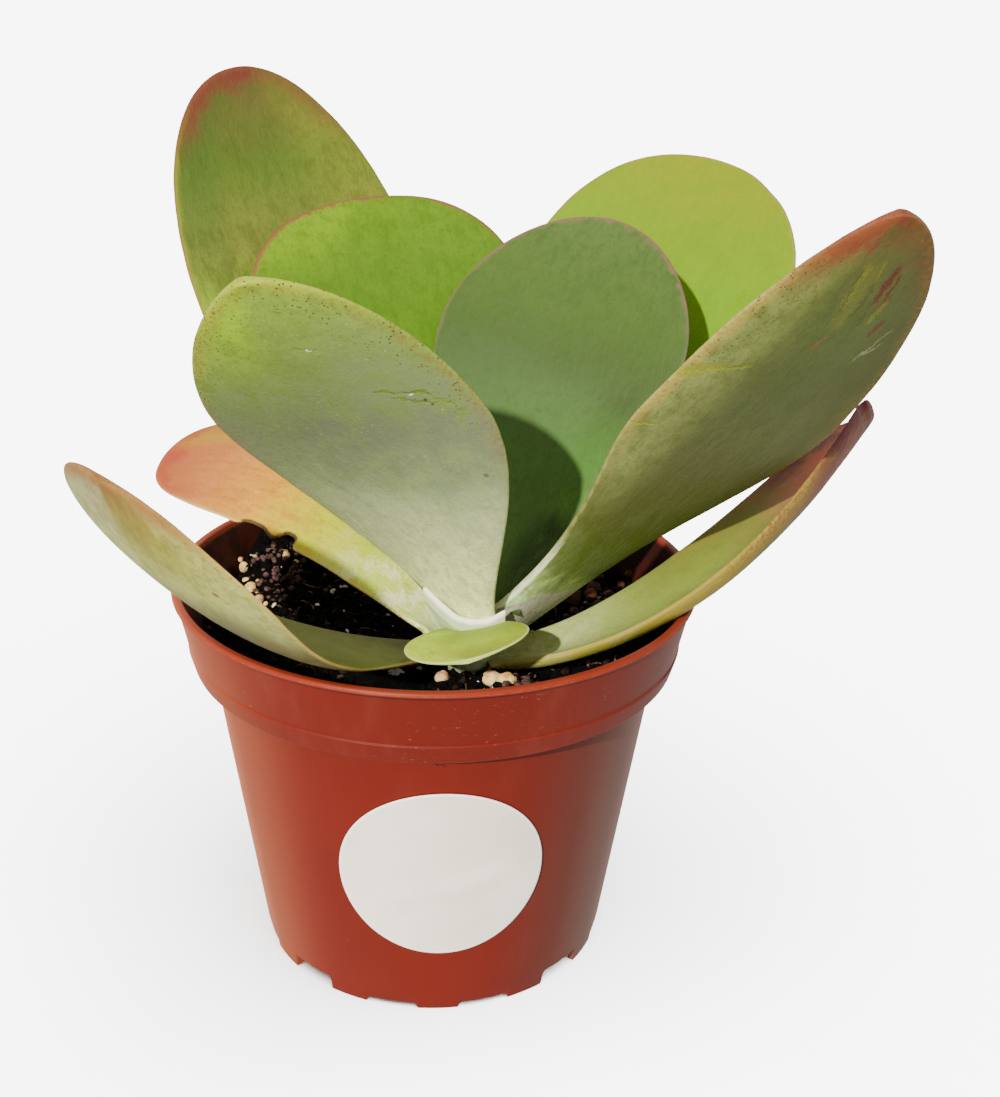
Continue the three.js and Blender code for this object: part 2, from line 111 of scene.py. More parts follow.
def value_noise(points, seed):
    """Smooth noise from -1 to 1 at an array of points, one unit between its bumps."""
    cell = np.floor(points)
    part = points - cell
    part = part * part * (3 - 2 * part)
    total = 0
    for corner in range(8):
        step = [(corner >> axis) & 1 for axis in range(3)]
        weight = 1
        for axis in range(3):
            weight = weight * (part[..., axis] if step[axis] else 1 - part[..., axis])
        total = total + weight * lattice(cell + step, seed)
    return 2 * total - 1


def fractal(points, octaves, seed):
    """Noise from -1 to 1 in ever finer layers, each half as strong as the one before."""
    total, size, span = 0, 1.0, 0.0
    for octave in range(octaves):
        finer = points * 2**octave + OCTAVE_SHIFT * octave
        total = total + size * value_noise(finer, seed + octave)
        span += size
        size *= 0.5
    return total / span


def flat_spots(x, y, size, z=0):
    """Places for noise on a flat surface, with bumps of the given size in millimetres."""
    return np.stack([x / size, y / size, 0 * x + z], -1)


def angles_round(count):
    return np.linspace(0, 2 * math.pi, count, endpoint=False)


def in_place(points):
    """Points in millimetres from the pot's axis, as metres in the part's own frame."""
    return np.asarray(points) * MM + np.array(AXIS)


def placed(name, data):
    """A new object of this data, in the scene."""
    made = bpy.data.objects.new(name, data)
    bpy.context.scene.collection.objects.link(made)
    return made


def plain_mesh(name, points, edges, faces):
    mesh = bpy.data.meshes.new(name)
    mesh.from_pydata([tuple(p) for p in points], edges, [tuple(f) for f in faces])
    return mesh


def mesh_object(name, points, faces, attributes=None):
    """A new object from points in metres, its faces turned outwards, with any point attributes."""
    mesh = plain_mesh(name, points, [], faces)
    for key, values in (attributes or {}).items():
        values = np.asarray(values, np.float32)
        vector = values.ndim == 2
        made = mesh.attributes.new(key, "FLOAT_VECTOR" if vector else "FLOAT", "POINT")
        made.data.foreach_set("vector" if vector else "value", values.ravel())
    mesh.update()
    face_outward(mesh)
    shade_smooth(mesh)
    return placed(name, mesh)


def shade_smooth(mesh):
    mesh.polygons.foreach_set("use_smooth", [True] * len(mesh.polygons))


def face_outward(mesh):
    """Turns a closed mesh inside out if its faces point inwards."""
    shape = bmesh.new()
    shape.from_mesh(mesh)
    if shape.calc_volume(signed=True) < 0:
        bmesh.ops.reverse_faces(shape, faces=shape.faces)
        shape.to_mesh(mesh)
    shape.free()


def loft_faces(rings, count):
    """Faces that join rings of equal count, with a fan at each end to a middle point."""
    faces = []
    for i in range(rings - 1):
        for j in range(count):
            a = i * count + j
            b = i * count + (j + 1) % count
            faces.append((a, b, b + count, a + count))
    start, last = rings * count, (rings - 1) * count
    for j in range(count):
        k = (j + 1) % count
        faces.append((start, k, j))
        faces.append((start + 1, last + j, last + k))
    return faces


def loft_points(rings):
    """The points of a loft: its rings in order, then the middle of the first and of the last."""
    rings = np.asarray(rings)
    flat = rings.reshape(-1, rings.shape[-1])
    return np.vstack([flat, rings[0].mean(0)[None], rings[-1].mean(0)[None]])


def finished(piece, slot, *nodes):
    """Rides a finished piece on the plant's one body, and hides the part's nodes that it replaces.
    """
    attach(piece, "root")
    if nodes:
        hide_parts(*nodes)


def baked(source):
    """The plain mesh that an object's modifiers give, as a new object in the same place."""
    depsgraph = bpy.context.evaluated_depsgraph_get()
    mesh = bpy.data.meshes.new_from_object(source.evaluated_get(depsgraph))
    return placed(source.name + "_made", mesh)


def discard(*objects):
    for each in objects:
        bpy.data.objects.remove(each)


# Node trees


class Graph:
    """A node tree under construction. One method makes every node."""

    def __init__(self, tree):
        self.tree = tree
        tree.nodes.clear()

    def node(self, kind, settings=None, inputs=None):
        made = self.tree.nodes.new(kind)
        for key, value in (settings or {}).items():
            if key == "stops":
                self.set_stops(made.color_ramp, value)
            else:
                setattr(made, key, value)
        for key, value in (inputs or {}).items():
            self.feed(made.inputs[key], value)
        return made

    @staticmethod
    def set_stops(ramp, stops):
        while len(ramp.elements) < len(stops):
            ramp.elements.new(1.0)
        for element, (place, colour) in zip(ramp.elements, stops):
            element.position = place
            element.color = colour

    def feed(self, socket, value):
        if isinstance(value, Value):
            self.tree.links.new(value.socket, socket)
        elif isinstance(value, bpy.types.NodeSocket):
            self.tree.links.new(value, socket)
        else:
            socket.default_value = value

    def value(self, kind, settings=None, inputs=None, output=0):
        return Value(self, self.node(kind, settings, inputs).outputs[output])

    def smooth(self, value, low, high):
        """0 below low and 1 above high, with a soft change between them."""
        return self.value(
            "ShaderNodeMapRange",
            {"interpolation_type": "SMOOTHSTEP"},
            {"Value": value, "From Min": low, "From Max": high},
        )

    def fade(self, value, low, high):
        """1 below low and 0 above high, with a soft change between them."""
        return 1 - self.smooth(value, low, high)

    def apart(self, vector):
        """The three numbers of a vector."""
        split = self.node("ShaderNodeSeparateXYZ", None, {"Vector": vector})
        return [Value(self, socket) for socket in split.outputs]

    def combine(self, x, y, z):
        return self.node("ShaderNodeCombineXYZ", None, {"X": x, "Y": y, "Z": z}).outputs[0]


class Value:
    """The number on a socket, so that maths on it is written as an expression."""

    def __init__(self, graph, socket):
        self.graph = graph
        self.socket = socket

    def math(self, operation, *others, swapped=False):
        terms = (*others, self) if swapped else (self, *others)
        made = self.graph.node("ShaderNodeMath", {"operation": operation})
        for socket, term in zip(made.inputs, terms):
            self.graph.feed(socket, term)
        return Value(self.graph, made.outputs[0])

    def __add__(self, other):
        return self.math("ADD", other)

    __radd__ = __add__

    def __sub__(self, other):
        return self.math("SUBTRACT", other)

    def __rsub__(self, other):
        return self.math("SUBTRACT", other, swapped=True)

    def __mul__(self, other):
        return self.math("MULTIPLY", other)

    __rmul__ = __mul__

    def __truediv__(self, other):
        return self.math("DIVIDE", other)

    def __rtruediv__(self, other):
        return self.math("DIVIDE", other, swapped=True)

    def __abs__(self):
        return self.math("ABSOLUTE")

    def above(self, other):
        return self.math("GREATER_THAN", other)

    def greatest(self, other):
        return self.math("MAXIMUM", other)

    def floor(self):
        return self.math("FLOOR")

    def root(self):
        return self.math("SQRT")

    def sine(self):
        return self.math("SINE")

    def cosine(self):
        return self.math("COSINE")


class Finish(Graph):
    """A material under construction, round one Principled shader."""

    def __init__(self, name, shine, **fixed):
        self.material = bpy.data.materials.new(name)
        self.material.use_nodes = True
        super().__init__(self.material.node_tree)
        fixed["Specular IOR Level"] = shine
        self.shader = self.node("ShaderNodeBsdfPrincipled", None, fixed)
        out = self.node("ShaderNodeOutputMaterial")
        self.tree.links.new(self.shader.outputs[0], out.inputs["Surface"])
        self.place = self.node("ShaderNodeTexCoord").outputs["Object"]
        self.tone = None

    def noise(self, per_metre, detail=3.0, roughness=0.5, stretch=None, place=None):
        vector = place or self.place
        if stretch:
            mapped = {"Vector": vector, "Scale": stretch}
            vector = self.node("ShaderNodeMapping", None, mapped).outputs[0]
        inputs = {"Vector": vector, "Scale": per_metre, "Detail": detail, "Roughness": roughness}
        return self.value("ShaderNodeTexNoise", None, inputs)

    def dots(self, per_metre, low, high):
        """Small round dots, strewn evenly, with edges between two radii in units of their pitch."""
        inputs = {"Vector": self.place, "Scale": per_metre}
        return self.fade(self.value("ShaderNodeTexVoronoi", None, inputs), low, high)

    def attribute(self, name):
        """A point attribute with three numbers, taken apart."""
        read = self.node("ShaderNodeAttribute", {"attribute_name": name})
        return self.apart(read.outputs["Vector"])

    def number(self, name):
        return self.value("ShaderNodeAttribute", {"attribute_name": name}, None, "Fac")

    def mix(self, factor, low, high):
        """A colour between two, by the sockets that a Mix node keeps for colours."""
        made = self.node("ShaderNodeMix", {"data_type": "RGBA"})
        for socket, value in zip((0, 6, 7), (factor, low, high)):
            self.feed(made.inputs[socket], value)
        return made.outputs[2]

    def ramp(self, value, stops):
        """The colour at a value from 0 to 1, between stops of a place and a colour."""
        stops = [(place, srgb(*colour)) for place, colour in stops]
        return self.node("ShaderNodeValToRGB", {"stops": stops}, {"Fac": value}).outputs[0]

    def paint(self, mask, colour):
        """Lays a colour over the tone so far, as strongly as the mask says."""
        self.tone = self.mix(mask, self.tone, srgb(*colour))

    def done(self, roughness, *bumps):
        """The material with its tone, roughness and bumps, each a height and a depth in mm."""
        self.feed(self.shader.inputs["Base Color"], self.tone)
        self.feed(self.shader.inputs["Roughness"], roughness)
        normal = None
        for height, depth in bumps:
            inputs = {"Height": height, "Distance": depth * MM, "Strength": 1.0}
            if normal:
                inputs["Normal"] = normal
            normal = self.node("ShaderNodeBump", None, inputs).outputs[0]
        if normal:
            self.feed(self.shader.inputs["Normal"], normal)
        return self.material


class Rule(Graph):
    """A Geometry Nodes tree under construction, with named inputs."""

    def __init__(self, name):
        self.group = bpy.data.node_groups.new(name, "GeometryNodeTree")
        super().__init__(self.group)
        for way in ("OUTPUT", "INPUT"):
            self.group.interface.new_socket(
                "Geometry", in_out=way, socket_type="NodeSocketGeometry")
        self.inputs = self.node("NodeGroupInput")
        self.output = self.node("NodeGroupOutput")

    def named(self, name, kind):
        self.group.interface.new_socket(name, in_out="INPUT", socket_type=kind)
        return self.inputs.outputs[name]

    def number(self, name):
        return Value(self, self.named(name, "NodeSocketFloat"))

    def vector_maths(self, operation, *terms):
        made = self.node("ShaderNodeVectorMath", {"operation": operation})
        for socket, term in zip(made.inputs, terms):
            self.feed(socket, term)
        return made.outputs[0]

    def realized(self, geometry):
        inputs = {"Geometry": geometry}
        return self.node("GeometryNodeRealizeInstances", None, inputs).outputs[0]

    def close(self, geometry, material):
        """Real geometry with its material, as the tree's result."""
        inputs = {"Geometry": self.realized(geometry), "Material": material}
        dressed = self.node("GeometryNodeSetMaterial", None, inputs)
        self.tree.links.new(dressed.outputs[0], self.output.inputs[0])

    def applied_to(self, source, **values):
        """The plain mesh that the tree makes of an object, with its inputs set by identifier."""
        modifier = source.modifiers.new(self.group.name, "NODES")
        modifier.node_group = self.group
        wanted = {key.replace("_", " ").lower(): value for key, value in values.items()}
        for item in self.group.interface.items_tree:
            key = item.name.lower()
            if item.item_type == "SOCKET" and item.in_out == "INPUT" and key in wanted:
                modifier[item.identifier] = wanted.pop(key)
        if wanted:
            raise RuntimeError(f"the tree {self.group.name} has no inputs named {sorted(wanted)}")
        made = baked(source)
        source.modifiers.remove(modifier)
        return made


# Settings


def a_length(name, text, default, low, high):
    return bpy.props.FloatProperty(
        name=name, description=text, default=default, min=low, max=high,
        unit="LENGTH", subtype="DISTANCE")


def an_angle(name, text, degrees):
    return bpy.props.FloatProperty(
        name=name, description=text, default=math.radians(degrees), min=-math.pi, max=math.pi,
        unit="ROTATION", subtype="ANGLE")


def a_colour(name, text, default):
    return bpy.props.FloatVectorProperty(
        name=name, description=text, default=default, size=3, min=0, max=1, subtype="COLOR")


def an_amount(name, text, default, high):
    return bpy.props.FloatProperty(name=name, description=text, default=default, min=0, max=high)


def a_count(name, text, default, low, high):
    return bpy.props.IntProperty(name=name, description=text, default=default, min=low, max=high)


class PotSettings(bpy.types.PropertyGroup):
    """Sizes and colours of the pot and its sticker"""

    rim_radius: a_length("Rim radius", "Outside radius of the pot's lip", 0.050, 0.02, 0.2)
    height: a_length("Height", "From the feet to the top of the lip", 0.0762, 0.03, 0.3)
    wall: a_length("Wall", "Thickness of the pot's wall", 0.0012, 0.0006, 0.004)
    foot_count: a_count("Feet", "How many feet the base is cut into", 12, 3, 24)
    gap_angle: an_angle("Gap angle", "Width of each gap between feet, seen from the axis", 16)
    plastic: a_colour("Plastic", "Colour of the pot's plastic", srgb(97, 23, 12)[:3])
    label_radius: a_length("Sticker radius", "Radius of the round sticker", 0.019, 0.005, 0.03)
    label_paper: a_colour("Sticker", "Colour of the blank sticker", srgb(240, 228, 214)[:3])


class SoilSettings(bpy.types.PropertyGroup):
    """How the soil is laid and strewn"""

    level: a_length("Level", "Height of the soil's top above the feet", 0.0636, 0.03, 0.2)
    crumb_density: an_amount("Crumbs", "Crumbs of peat on each square metre", 620000, 2000000)
    grain_density: an_amount("Pale grains", "Pale grains on each square metre", 26000, 400000)
    fibre_density: an_amount("Fibres", "Short fibres on each square metre", 60000, 400000)
    peat: a_colour("Peat", "Colour of the peat", srgb(10, 7, 6)[:3])


class LeafSettings(bpy.types.PropertyGroup):
    """What all leaves share"""

    thickness: a_length("Thickness", "Of a blade near its base", 0.0026, 0.001, 0.006)
    tip_thickness: a_length("Tip thickness", "Of a blade near its tip", 0.0017, 0.001, 0.006)
    stations: a_count("Stations", "Rings along each blade", 150, 20, 300)
    section: a_count("Section", "Points round each ring", 72, 16, 200)


class StageSettings(bpy.types.PropertyGroup):
    """Floor, light and camera"""

    floor: a_colour("Floor", "Colour of the floor", (0.9, 0.9, 0.9))
    key_strength: an_amount("Key light", "Strength of the light on the plant", 8.2, 30)
    key_heading: an_angle("Key heading", "Where it stands, anticlockwise from +X", -115)
    key_height: an_angle("Key height", "Height of the key light above the horizon", 29.5)
    floor_strength: an_amount("Floor light", "Strength of the broad light on the floor", 26.0, 60)
    sky_strength: an_amount("Fill light", "Strength of the light from all round", 1.05, 10)
    lens: an_amount("Lens", "Focal length on a 36 mm sensor", 53.05, 200)


# Pot

COLLAR_HEIGHT = 15.3
COLLAR_FOOT_RADIUS = 46.3
COLLAR_LINE_HEIGHT = 3.6
COLLAR_LINE_STEP = 0.25
LIP_HEIGHT = 0.9
LIP_PROUD = 0.45
BODY_TOP_RADIUS = 43
BASE_RADIUS = 34
FLOOR_UNDERSIDE = 3.4
FLOOR_THICKNESS = 1.4
GAP_HEIGHT = 1.3
DRAIN_HEIGHT = 3
POT_TURN = 1.5
WALL_STEPS = (3.3, 4.2, 12, 30, 48)
POT_SIDES = 720
# Points on each rounded corner, and the most of a side that it may take
CORNER_STEPS = 5
CORNER_REACH = 0.45
GAP_SOFT = (-0.02, 0.012)
MERGE_DISTANCE = 0.008
SHARP_ANGLE = 38

POT = {"height": 76.2, "rim": 50, "wall": 1.2}
COLLAR_FOOT = POT["height"] - COLLAR_HEIGHT


def wall_radius(z):
    return lerp(BASE_RADIUS, BODY_TOP_RADIUS, z / COLLAR_FOOT)


def collar_radius(z):
    return lerp(COLLAR_FOOT_RADIUS, POT["rim"] - LIP_PROUD, (z - COLLAR_FOOT) / COLLAR_HEIGHT)


def pot_profile():
    """The wall's outline from under the floor, up outside and down inside, with corner radii."""
    wall, top = POT["wall"], POT["height"]
    floor_top = FLOOR_UNDERSIDE + FLOOR_THICKNESS
    shelf = COLLAR_FOOT + wall
    line = COLLAR_FOOT + COLLAR_LINE_HEIGHT
    lip = top - LIP_HEIGHT
    return [
        (0, FLOOR_UNDERSIDE, 0),
        (wall_radius(FLOOR_UNDERSIDE) - wall, FLOOR_UNDERSIDE, 0.5),
        (BASE_RADIUS - wall, 0, 0.12),
        (BASE_RADIUS, 0, 0.3),
        *[(wall_radius(z), z, 0) for z in WALL_STEPS],
        (wall_radius(COLLAR_FOOT), COLLAR_FOOT, 0.5),
        (COLLAR_FOOT_RADIUS, COLLAR_FOOT, 0.45),
        (collar_radius(line) + COLLAR_LINE_STEP, line, 0.08),
        (collar_radius(line), line + COLLAR_LINE_STEP, 0.08),
        (collar_radius(lip - LIP_PROUD), lip - LIP_PROUD, 0.25),
        (POT["rim"], lip, 0.3),
        (POT["rim"] - 0.3, top, 0.45),
        (collar_radius(top) - wall, top, 0.45),
        (collar_radius(shelf) - wall, shelf, 0.4),
        (wall_radius(shelf) - wall, shelf, 0.4),
        (wall_radius(floor_top) - wall, floor_top, 0.8),
        (0, floor_top, 0),
    ]


def rounded(corners):
    """The corners' outline, each corner turned into a short curve of its radius."""
    points = []
    for i, (r, z, radius) in enumerate(corners):
        here = np.array([r, z], float)
        if radius == 0:
            points.append(here)
            continue
        ends = []
        for other in (corners[i - 1], corners[i + 1]):
            way = np.array(other[:2], float) - here
            ends.append(here + way * min(radius / np.linalg.norm(way), CORNER_REACH))
        for t in np.linspace(0, 1, CORNER_STEPS):
            points.append((1 - t) ** 2 * ends[0] + 2 * t * (1 - t) * here + t * t * ends[1])
    return points


def turned_pot_rule():
    """A profile turned about the upright axis, its foot cut by gaps of which each third is deep."""
    rule = Rule("turned_pot")
    sides = rule.named("Sides", "NodeSocketInt")
    feet, turn, gap, low, deep = [rule.number(name) for name in (
        "Feet", "Foot turn", "Gap angle", "Gap height", "Drain height")]
    material = rule.named("Material", "NodeSocketMaterial")
    profile = rule.inputs.outputs["Geometry"]
    count = rule.node("GeometryNodeAttributeDomainSize", None, {"Geometry": profile}).outputs[0]
    grid = rule.node("GeometryNodeMeshGrid", None, {
        "Size X": 1.0, "Size Y": 1.0, "Vertices X": Value(rule, sides) + 1, "Vertices Y": count})
    position = rule.node("GeometryNodeInputPosition").outputs[0]
    column, row, _ = rule.apart(position)
    around = (column + 0.5) * (2 * math.pi)
    number = ((row + 0.5) * (Value(rule, count) - 1)).math("ROUND")
    sampled = rule.node(
        "GeometryNodeSampleIndex", {"data_type": "FLOAT_VECTOR", "domain": "POINT"},
        {"Geometry": profile, "Index": number})
    rule.feed(next(s for s in sampled.inputs if s.name == "Value"), position)
    radius, _, height = rule.apart(sampled.outputs[0])
    pitch = 2 * math.pi / feet
    place = (around - turn) / pitch
    off = abs(place + 0.5 - (place + 0.5).floor() - 0.5)
    edge = 0.5 - gap / pitch / 2
    open_gap = rule.smooth(off, edge + GAP_SOFT[0], edge + GAP_SOFT[1])
    which = place.floor()
    third = which - (which / 3).floor() * 3
    is_deep = (1 - abs(third - 1)).greatest(0)
    raised = height.greatest(open_gap * (low + (deep - low) * is_deep))
    spot = rule.combine(radius * around.cosine(), radius * around.sine(), raised)
    shaped = rule.node("GeometryNodeSetPosition", None, {
        "Geometry": grid.outputs[0], "Position": spot})
    merged = rule.node("GeometryNodeMergeByDistance", None, {
        "Geometry": shaped.outputs[0], "Distance": MERGE_DISTANCE * MM})
    sharp = rule.value("GeometryNodeInputMeshEdgeAngle").above(math.radians(SHARP_ANGLE))
    smooth = rule.node("GeometryNodeSetShadeSmooth", {"domain": "EDGE"}, {
        "Geometry": merged.outputs[0], "Selection": sharp, "Shade Smooth": False})
    rule.close(smooth.outputs[0], material)
    return rule


# Painted sheen and shade of the plastic, with some dust, from the pot's left side, -1, to its right
# side, 1: a hazy painted reflection at the left and a greyer painted reflection over shade at the
# right
DUST_AND_SHEEN_SIDES = (
    (-1, (182, 102, 68)), (-0.88, (134, 63, 37)), (-0.5, (100, 24, 11)), (0.3, (91, 20, 10)),
    (0.66, (86, 33, 23)), (0.87, (97, 58, 48)), (1, (124, 71, 59)),
)
# Heights in millimetres between which each part comes in or goes out: painted light on the lip's
# top, painted shadow under it, painted highlight on its edge and painted shade inside
COLLAR_STARTS = (COLLAR_FOOT - 0.4, COLLAR_FOOT + 0.3)
LIP_LIGHT_STARTS = (75.2, 75.6)
SHADE_STARTS, SHADE_ENDS = (74.4, 74.9), (75.2, 75.3)
GLINT_STARTS = (75.5, 75.7)
INSIDE_SHADE_STARTS, INSIDE_SHADE_ENDS = (61.5, 62), (74.6, 75.6)
# Millimetres out from the rim between which the lip's outside, with the painted shadow under it,
# and its outermost edge, with the painted highlight, begin
LIP_OUTSIDE = (-1, -0.6)
GLINT_OUTSIDE = (-0.16, -0.05)


def plastic_finish(colour):
    """Satin terracotta plastic: painted sheen and shade at the sides, painted light on the lip,
    painted shadow under it, a painted highlight on its edge, painted shade inside, scuffs, specks.
    """
    g = Finish("pot_plastic", 0.15)
    x, y, height = [place / MM for place in g.apart(g.place)]
    x, y = x - AXIS.x / MM, y - AXIS.y / MM
    radius = (x * x + y * y).root()
    from_rim = radius - POT["rim"]
    collar = g.smooth(height, *COLLAR_STARTS)
    cloud = g.noise(28, 4, 0.6)
    smear = g.noise(60, 5, 0.65, stretch=(1, 1, 0.3))
    g.tone = (*colour, 1.0)
    g.paint(g.smooth(cloud, 0.3, 0.7) * 0.5, (86, 19, 10))
    # Painted light and shade across the body, with some dust: a hazy painted sheen at the left, the
    # plastic's colour in front, and painted shade with a greyer painted reflection at the right.
    sideways = x / radius + (smear - 0.5) * 0.08
    dust_and_sheen = g.ramp(0.5 + sideways * 0.5, [(0.5 + side * 0.5, shade) for side, shade in DUST_AND_SHEEN_SIDES])
    left_sheen = g.fade(sideways, -0.95, -0.4)
    right_shade_sheen = g.smooth(sideways, 0.25, 0.6) * (1 - 0.8 * collar)
    g.tone = g.mix(left_sheen.greatest(right_shade_sheen), g.tone, dust_and_sheen)
    bloom = g.smooth(smear, 0.5, 0.72)
    g.paint(bloom * (0.05 + 0.07 * collar), (150, 84, 66))
    specks = g.dots(520, 0.05, 0.11) * g.smooth(g.noise(110, 3, 0.6), 0.6, 0.7)
    g.paint(specks * (0.12 + 0.38 * collar), (196, 140, 120))
    rub = g.smooth(g.noise(900, 2, 0.5, stretch=(1, 1, 5)), 0.69, 0.74)
    g.paint(rub * collar * g.smooth(g.noise(60), 0.5, 0.62) * 0.35, (176, 120, 100))
    # The lip's top painted lighter: painted light.
    g.paint(g.smooth(height, *LIP_LIGHT_STARTS) * 0.6, (128, 44, 24))
    # A dark line under the lip: painted shadow.
    shade = g.smooth(height, *SHADE_STARTS) * g.fade(height, *SHADE_ENDS)
    g.paint(shade * g.smooth(from_rim, *LIP_OUTSIDE) * (1 - right_shade_sheen) * 0.8, (44, 12, 8))
    # A ragged pale line on the lip's outer edge: painted highlight.
    glint_breaks = g.smooth(g.noise(700, 4, 0.7), 0.42, 0.6)
    brim_glint = g.smooth(from_rim, *GLINT_OUTSIDE) * g.smooth(height, *GLINT_STARTS)
    g.paint(brim_glint * glint_breaks * 0.4, (196, 118, 92))
    # The inside of the wall painted dark: painted shade, with darker blotches.
    inner = collar_radius(height) - POT["wall"] * 0.5
    inside = g.fade(radius - inner, -0.1, 0.1) * g.smooth(height, *INSIDE_SHADE_STARTS)
    inside = inside * g.fade(height, *INSIDE_SHADE_ENDS)
    g.paint(inside * 0.85, (36, 13, 9))
    g.paint(inside * g.smooth(g.noise(240, 5, 0.65), 0.42, 0.62) * 0.6, (28, 18, 14))
    return g.done(
        0.40 + 0.10 * smear + 0.10 * left_sheen, (g.noise(900, 3, 0.6), 0.012), (g.noise(70), 0.08))


class PLANT_OT_pot(bpy.types.Operator):
    """Turn the nursery pot from its profile and cut its feet"""

    bl_idname = "paddle_plant.pot"
    bl_label = "Nursery pot"

    def execute(self, context):
        wanted = context.scene.paddle_pot
        POT.update(height=wanted.height / MM, rim=wanted.rim_radius / MM, wall=wanted.wall / MM)
        points = [(r * MM, 0, z * MM) for r, z in rounded(pot_profile())]
        edges = [(i, i + 1) for i in range(len(points) - 1)]
        source = placed("pot_profile", plain_mesh("pot_profile", points, edges, []))
        pot = turned_pot_rule().applied_to(
            source,
            sides=POT_SIDES,
            feet=float(wanted.foot_count),
            foot_turn=math.radians(POT_TURN - 90),
            gap_angle=wanted.gap_angle,
            gap_height=GAP_HEIGHT * MM,
            drain_height=DRAIN_HEIGHT * MM,
            material=plastic_finish(wanted.plastic),
        )
        discard(source)
        pot.name = "nursery_pot"
        pot.data.transform(Matrix.Translation(AXIS))
        face_outward(pot.data)
        finished(pot, "pot", "pot")
        return {"FINISHED"}


# Sticker

LABEL_HEIGHT = 33.6
LABEL_TURN = 2.1
LABEL_THICKNESS = 0.3
LABEL_GAP = 0.15
LABEL_RINGS = 60
LABEL_SIDES = 220
# The film's creases: height, width, place below the middle, slope, and where each comes and goes
CREASES = (
    (0.30, 2.6, 3.6, -0.24, (-15, -5), (6, 15)),
    (0.14, 2.4, 1, 0.5, (-6, 0), (3, 9)),
)
FILM_WAVES = (0.10, 7)
# The creases are weaker by this part at the rim, from this far inside it
RIM_HOLD = (0.6, 2.5)


def label_relief(x, y):
    """How far the film stands off the wall: soft creases across the middle and faint waves."""
    relief = 0
    for height, width, below, slope, starts, ends in CREASES:
        along = smoothstep(*starts, x) * (1 - smoothstep(*ends, x))
        relief = relief + height * np.exp(-((y + below + slope * x) / width) ** 2) * along
    height, size = FILM_WAVES
    return relief + height * fractal(flat_spots(x, y, size), 3, 5)


def label_surface(lift):
    """Points of the round sticker bent round the pot's cone, from its middle to its edge."""
    slope = math.hypot(1, (BODY_TOP_RADIUS - BASE_RADIUS) / COLLAR_FOOT)
    radius = bpy.context.scene.paddle_pot.label_radius / MM
    r = radius * np.linspace(0.02, 1, LABEL_RINGS)[:, None]
    a = angles_round(LABEL_SIDES)[None]
    x, y = r * np.cos(a), r * np.sin(a)
    z = LABEL_HEIGHT + y / slope
    hold, reach = RIM_HOLD
    held = 1 - hold * smoothstep(radius - reach, radius, r)
    out = wall_radius(z) + LABEL_GAP + lift + label_relief(x, y).clip(0, None) * held
    heading = np.radians(-90 + LABEL_TURN) + x / wall_radius(z)
    flat = np.stack([x, y, radius - np.hypot(x, y)], -1)
    return np.stack([out * np.cos(heading), out * np.sin(heading), z], -1), flat


def label_finish(colour):
    """Matt white film with soft grey waves, a thin bright edge and a little dust."""
    g = Finish("sticker_film", 0.35)
    _, _, edge = g.attribute("flat")
    cloud = g.noise(55, 5, 0.6)
    g.tone = g.mix(g.smooth(cloud, 0.35, 0.7), srgb(228, 214, 200), (*colour, 1.0))
    g.paint(g.fade(edge, 0.25, 0.6) * 0.8, (252, 248, 244))
    dirt = g.smooth(g.noise(700, 3, 0.6), 0.66, 0.74) * g.smooth(g.noise(90), 0.5, 0.62)
    g.paint(dirt * 0.25, (188, 176, 170))
    return g.done(
        0.5 + 0.12 * cloud, (g.noise(160, 4, 0.55), 0.12), (g.noise(1500, 2, 0.5), 0.008))


class PLANT_OT_label(bpy.types.Operator):
    """Lay the blank round sticker on the pot's wall"""

    bl_idname = "paddle_plant.label"
    bl_label = "Blank sticker"

    def execute(self, context):
        front, flat = label_surface(LABEL_THICKNESS)
        back, _ = label_surface(0)
        rings = np.concatenate([front, back[::-1]])
        marks = {"flat": loft_points(np.concatenate([flat, flat[::-1]]))}
        faces = loft_faces(len(rings), LABEL_SIDES)
        label = mesh_object("blank_sticker", in_place(loft_points(rings)), faces, marks)
        label.data.materials.append(label_finish(context.scene.paddle_pot.label_paper))
        finished(label, "label", "label")
        return {"FINISHED"}


# Soil

SOIL_GAP = 0.3
SOIL_BACK_RISE = 3.5
SOIL_MOUND = {"heading": 137, "reach": 45, "width": 9.5, "height": 10.5}
SOIL_SWELL = {"x": 11.5, "y": -29, "across": 8.5, "along": 10, "height": 4.3}
SOIL_CREST = 74.6
CRUMB_HEIGHT = 0.7
SOIL_RINGS = 130
SOIL_SIDES = 420
# Lumps and fine crumbs of the soil's skin: height and size in millimetres
SOIL_LUMPS = (0.9, 2.6)
SOIL_FINE = (0.3, 0.9)
LUMP_MIDDLE = 0.75
# Rings and sides of the ground that things are strewn on, and what it keeps clear of
GROUND_RINGS = 50
GROUND_SIDES = 120
GROUND_MARGIN = 0.9
GROUND_LIFT = 0.1
STEM_CLEARANCE = 0.6
# How far the noise may push the points of each strewn shape, in millimetres
STREWN_ROUGHNESS = {"crumb": 0.9, "grain": 0.6, "fibre": 0.5}
STREWN_NOISE = 900.0
FINENESS = {"crumb": 1, "grain": 2}
FIBRE_TILT = 0.35
LEAST_PROPORTION, MOST_PROPORTION = (0.65, 0.65, 0.55), (1.2, 1.2, 1.0)
PROPORTION_SEED, TONE_SEED = 7, 29


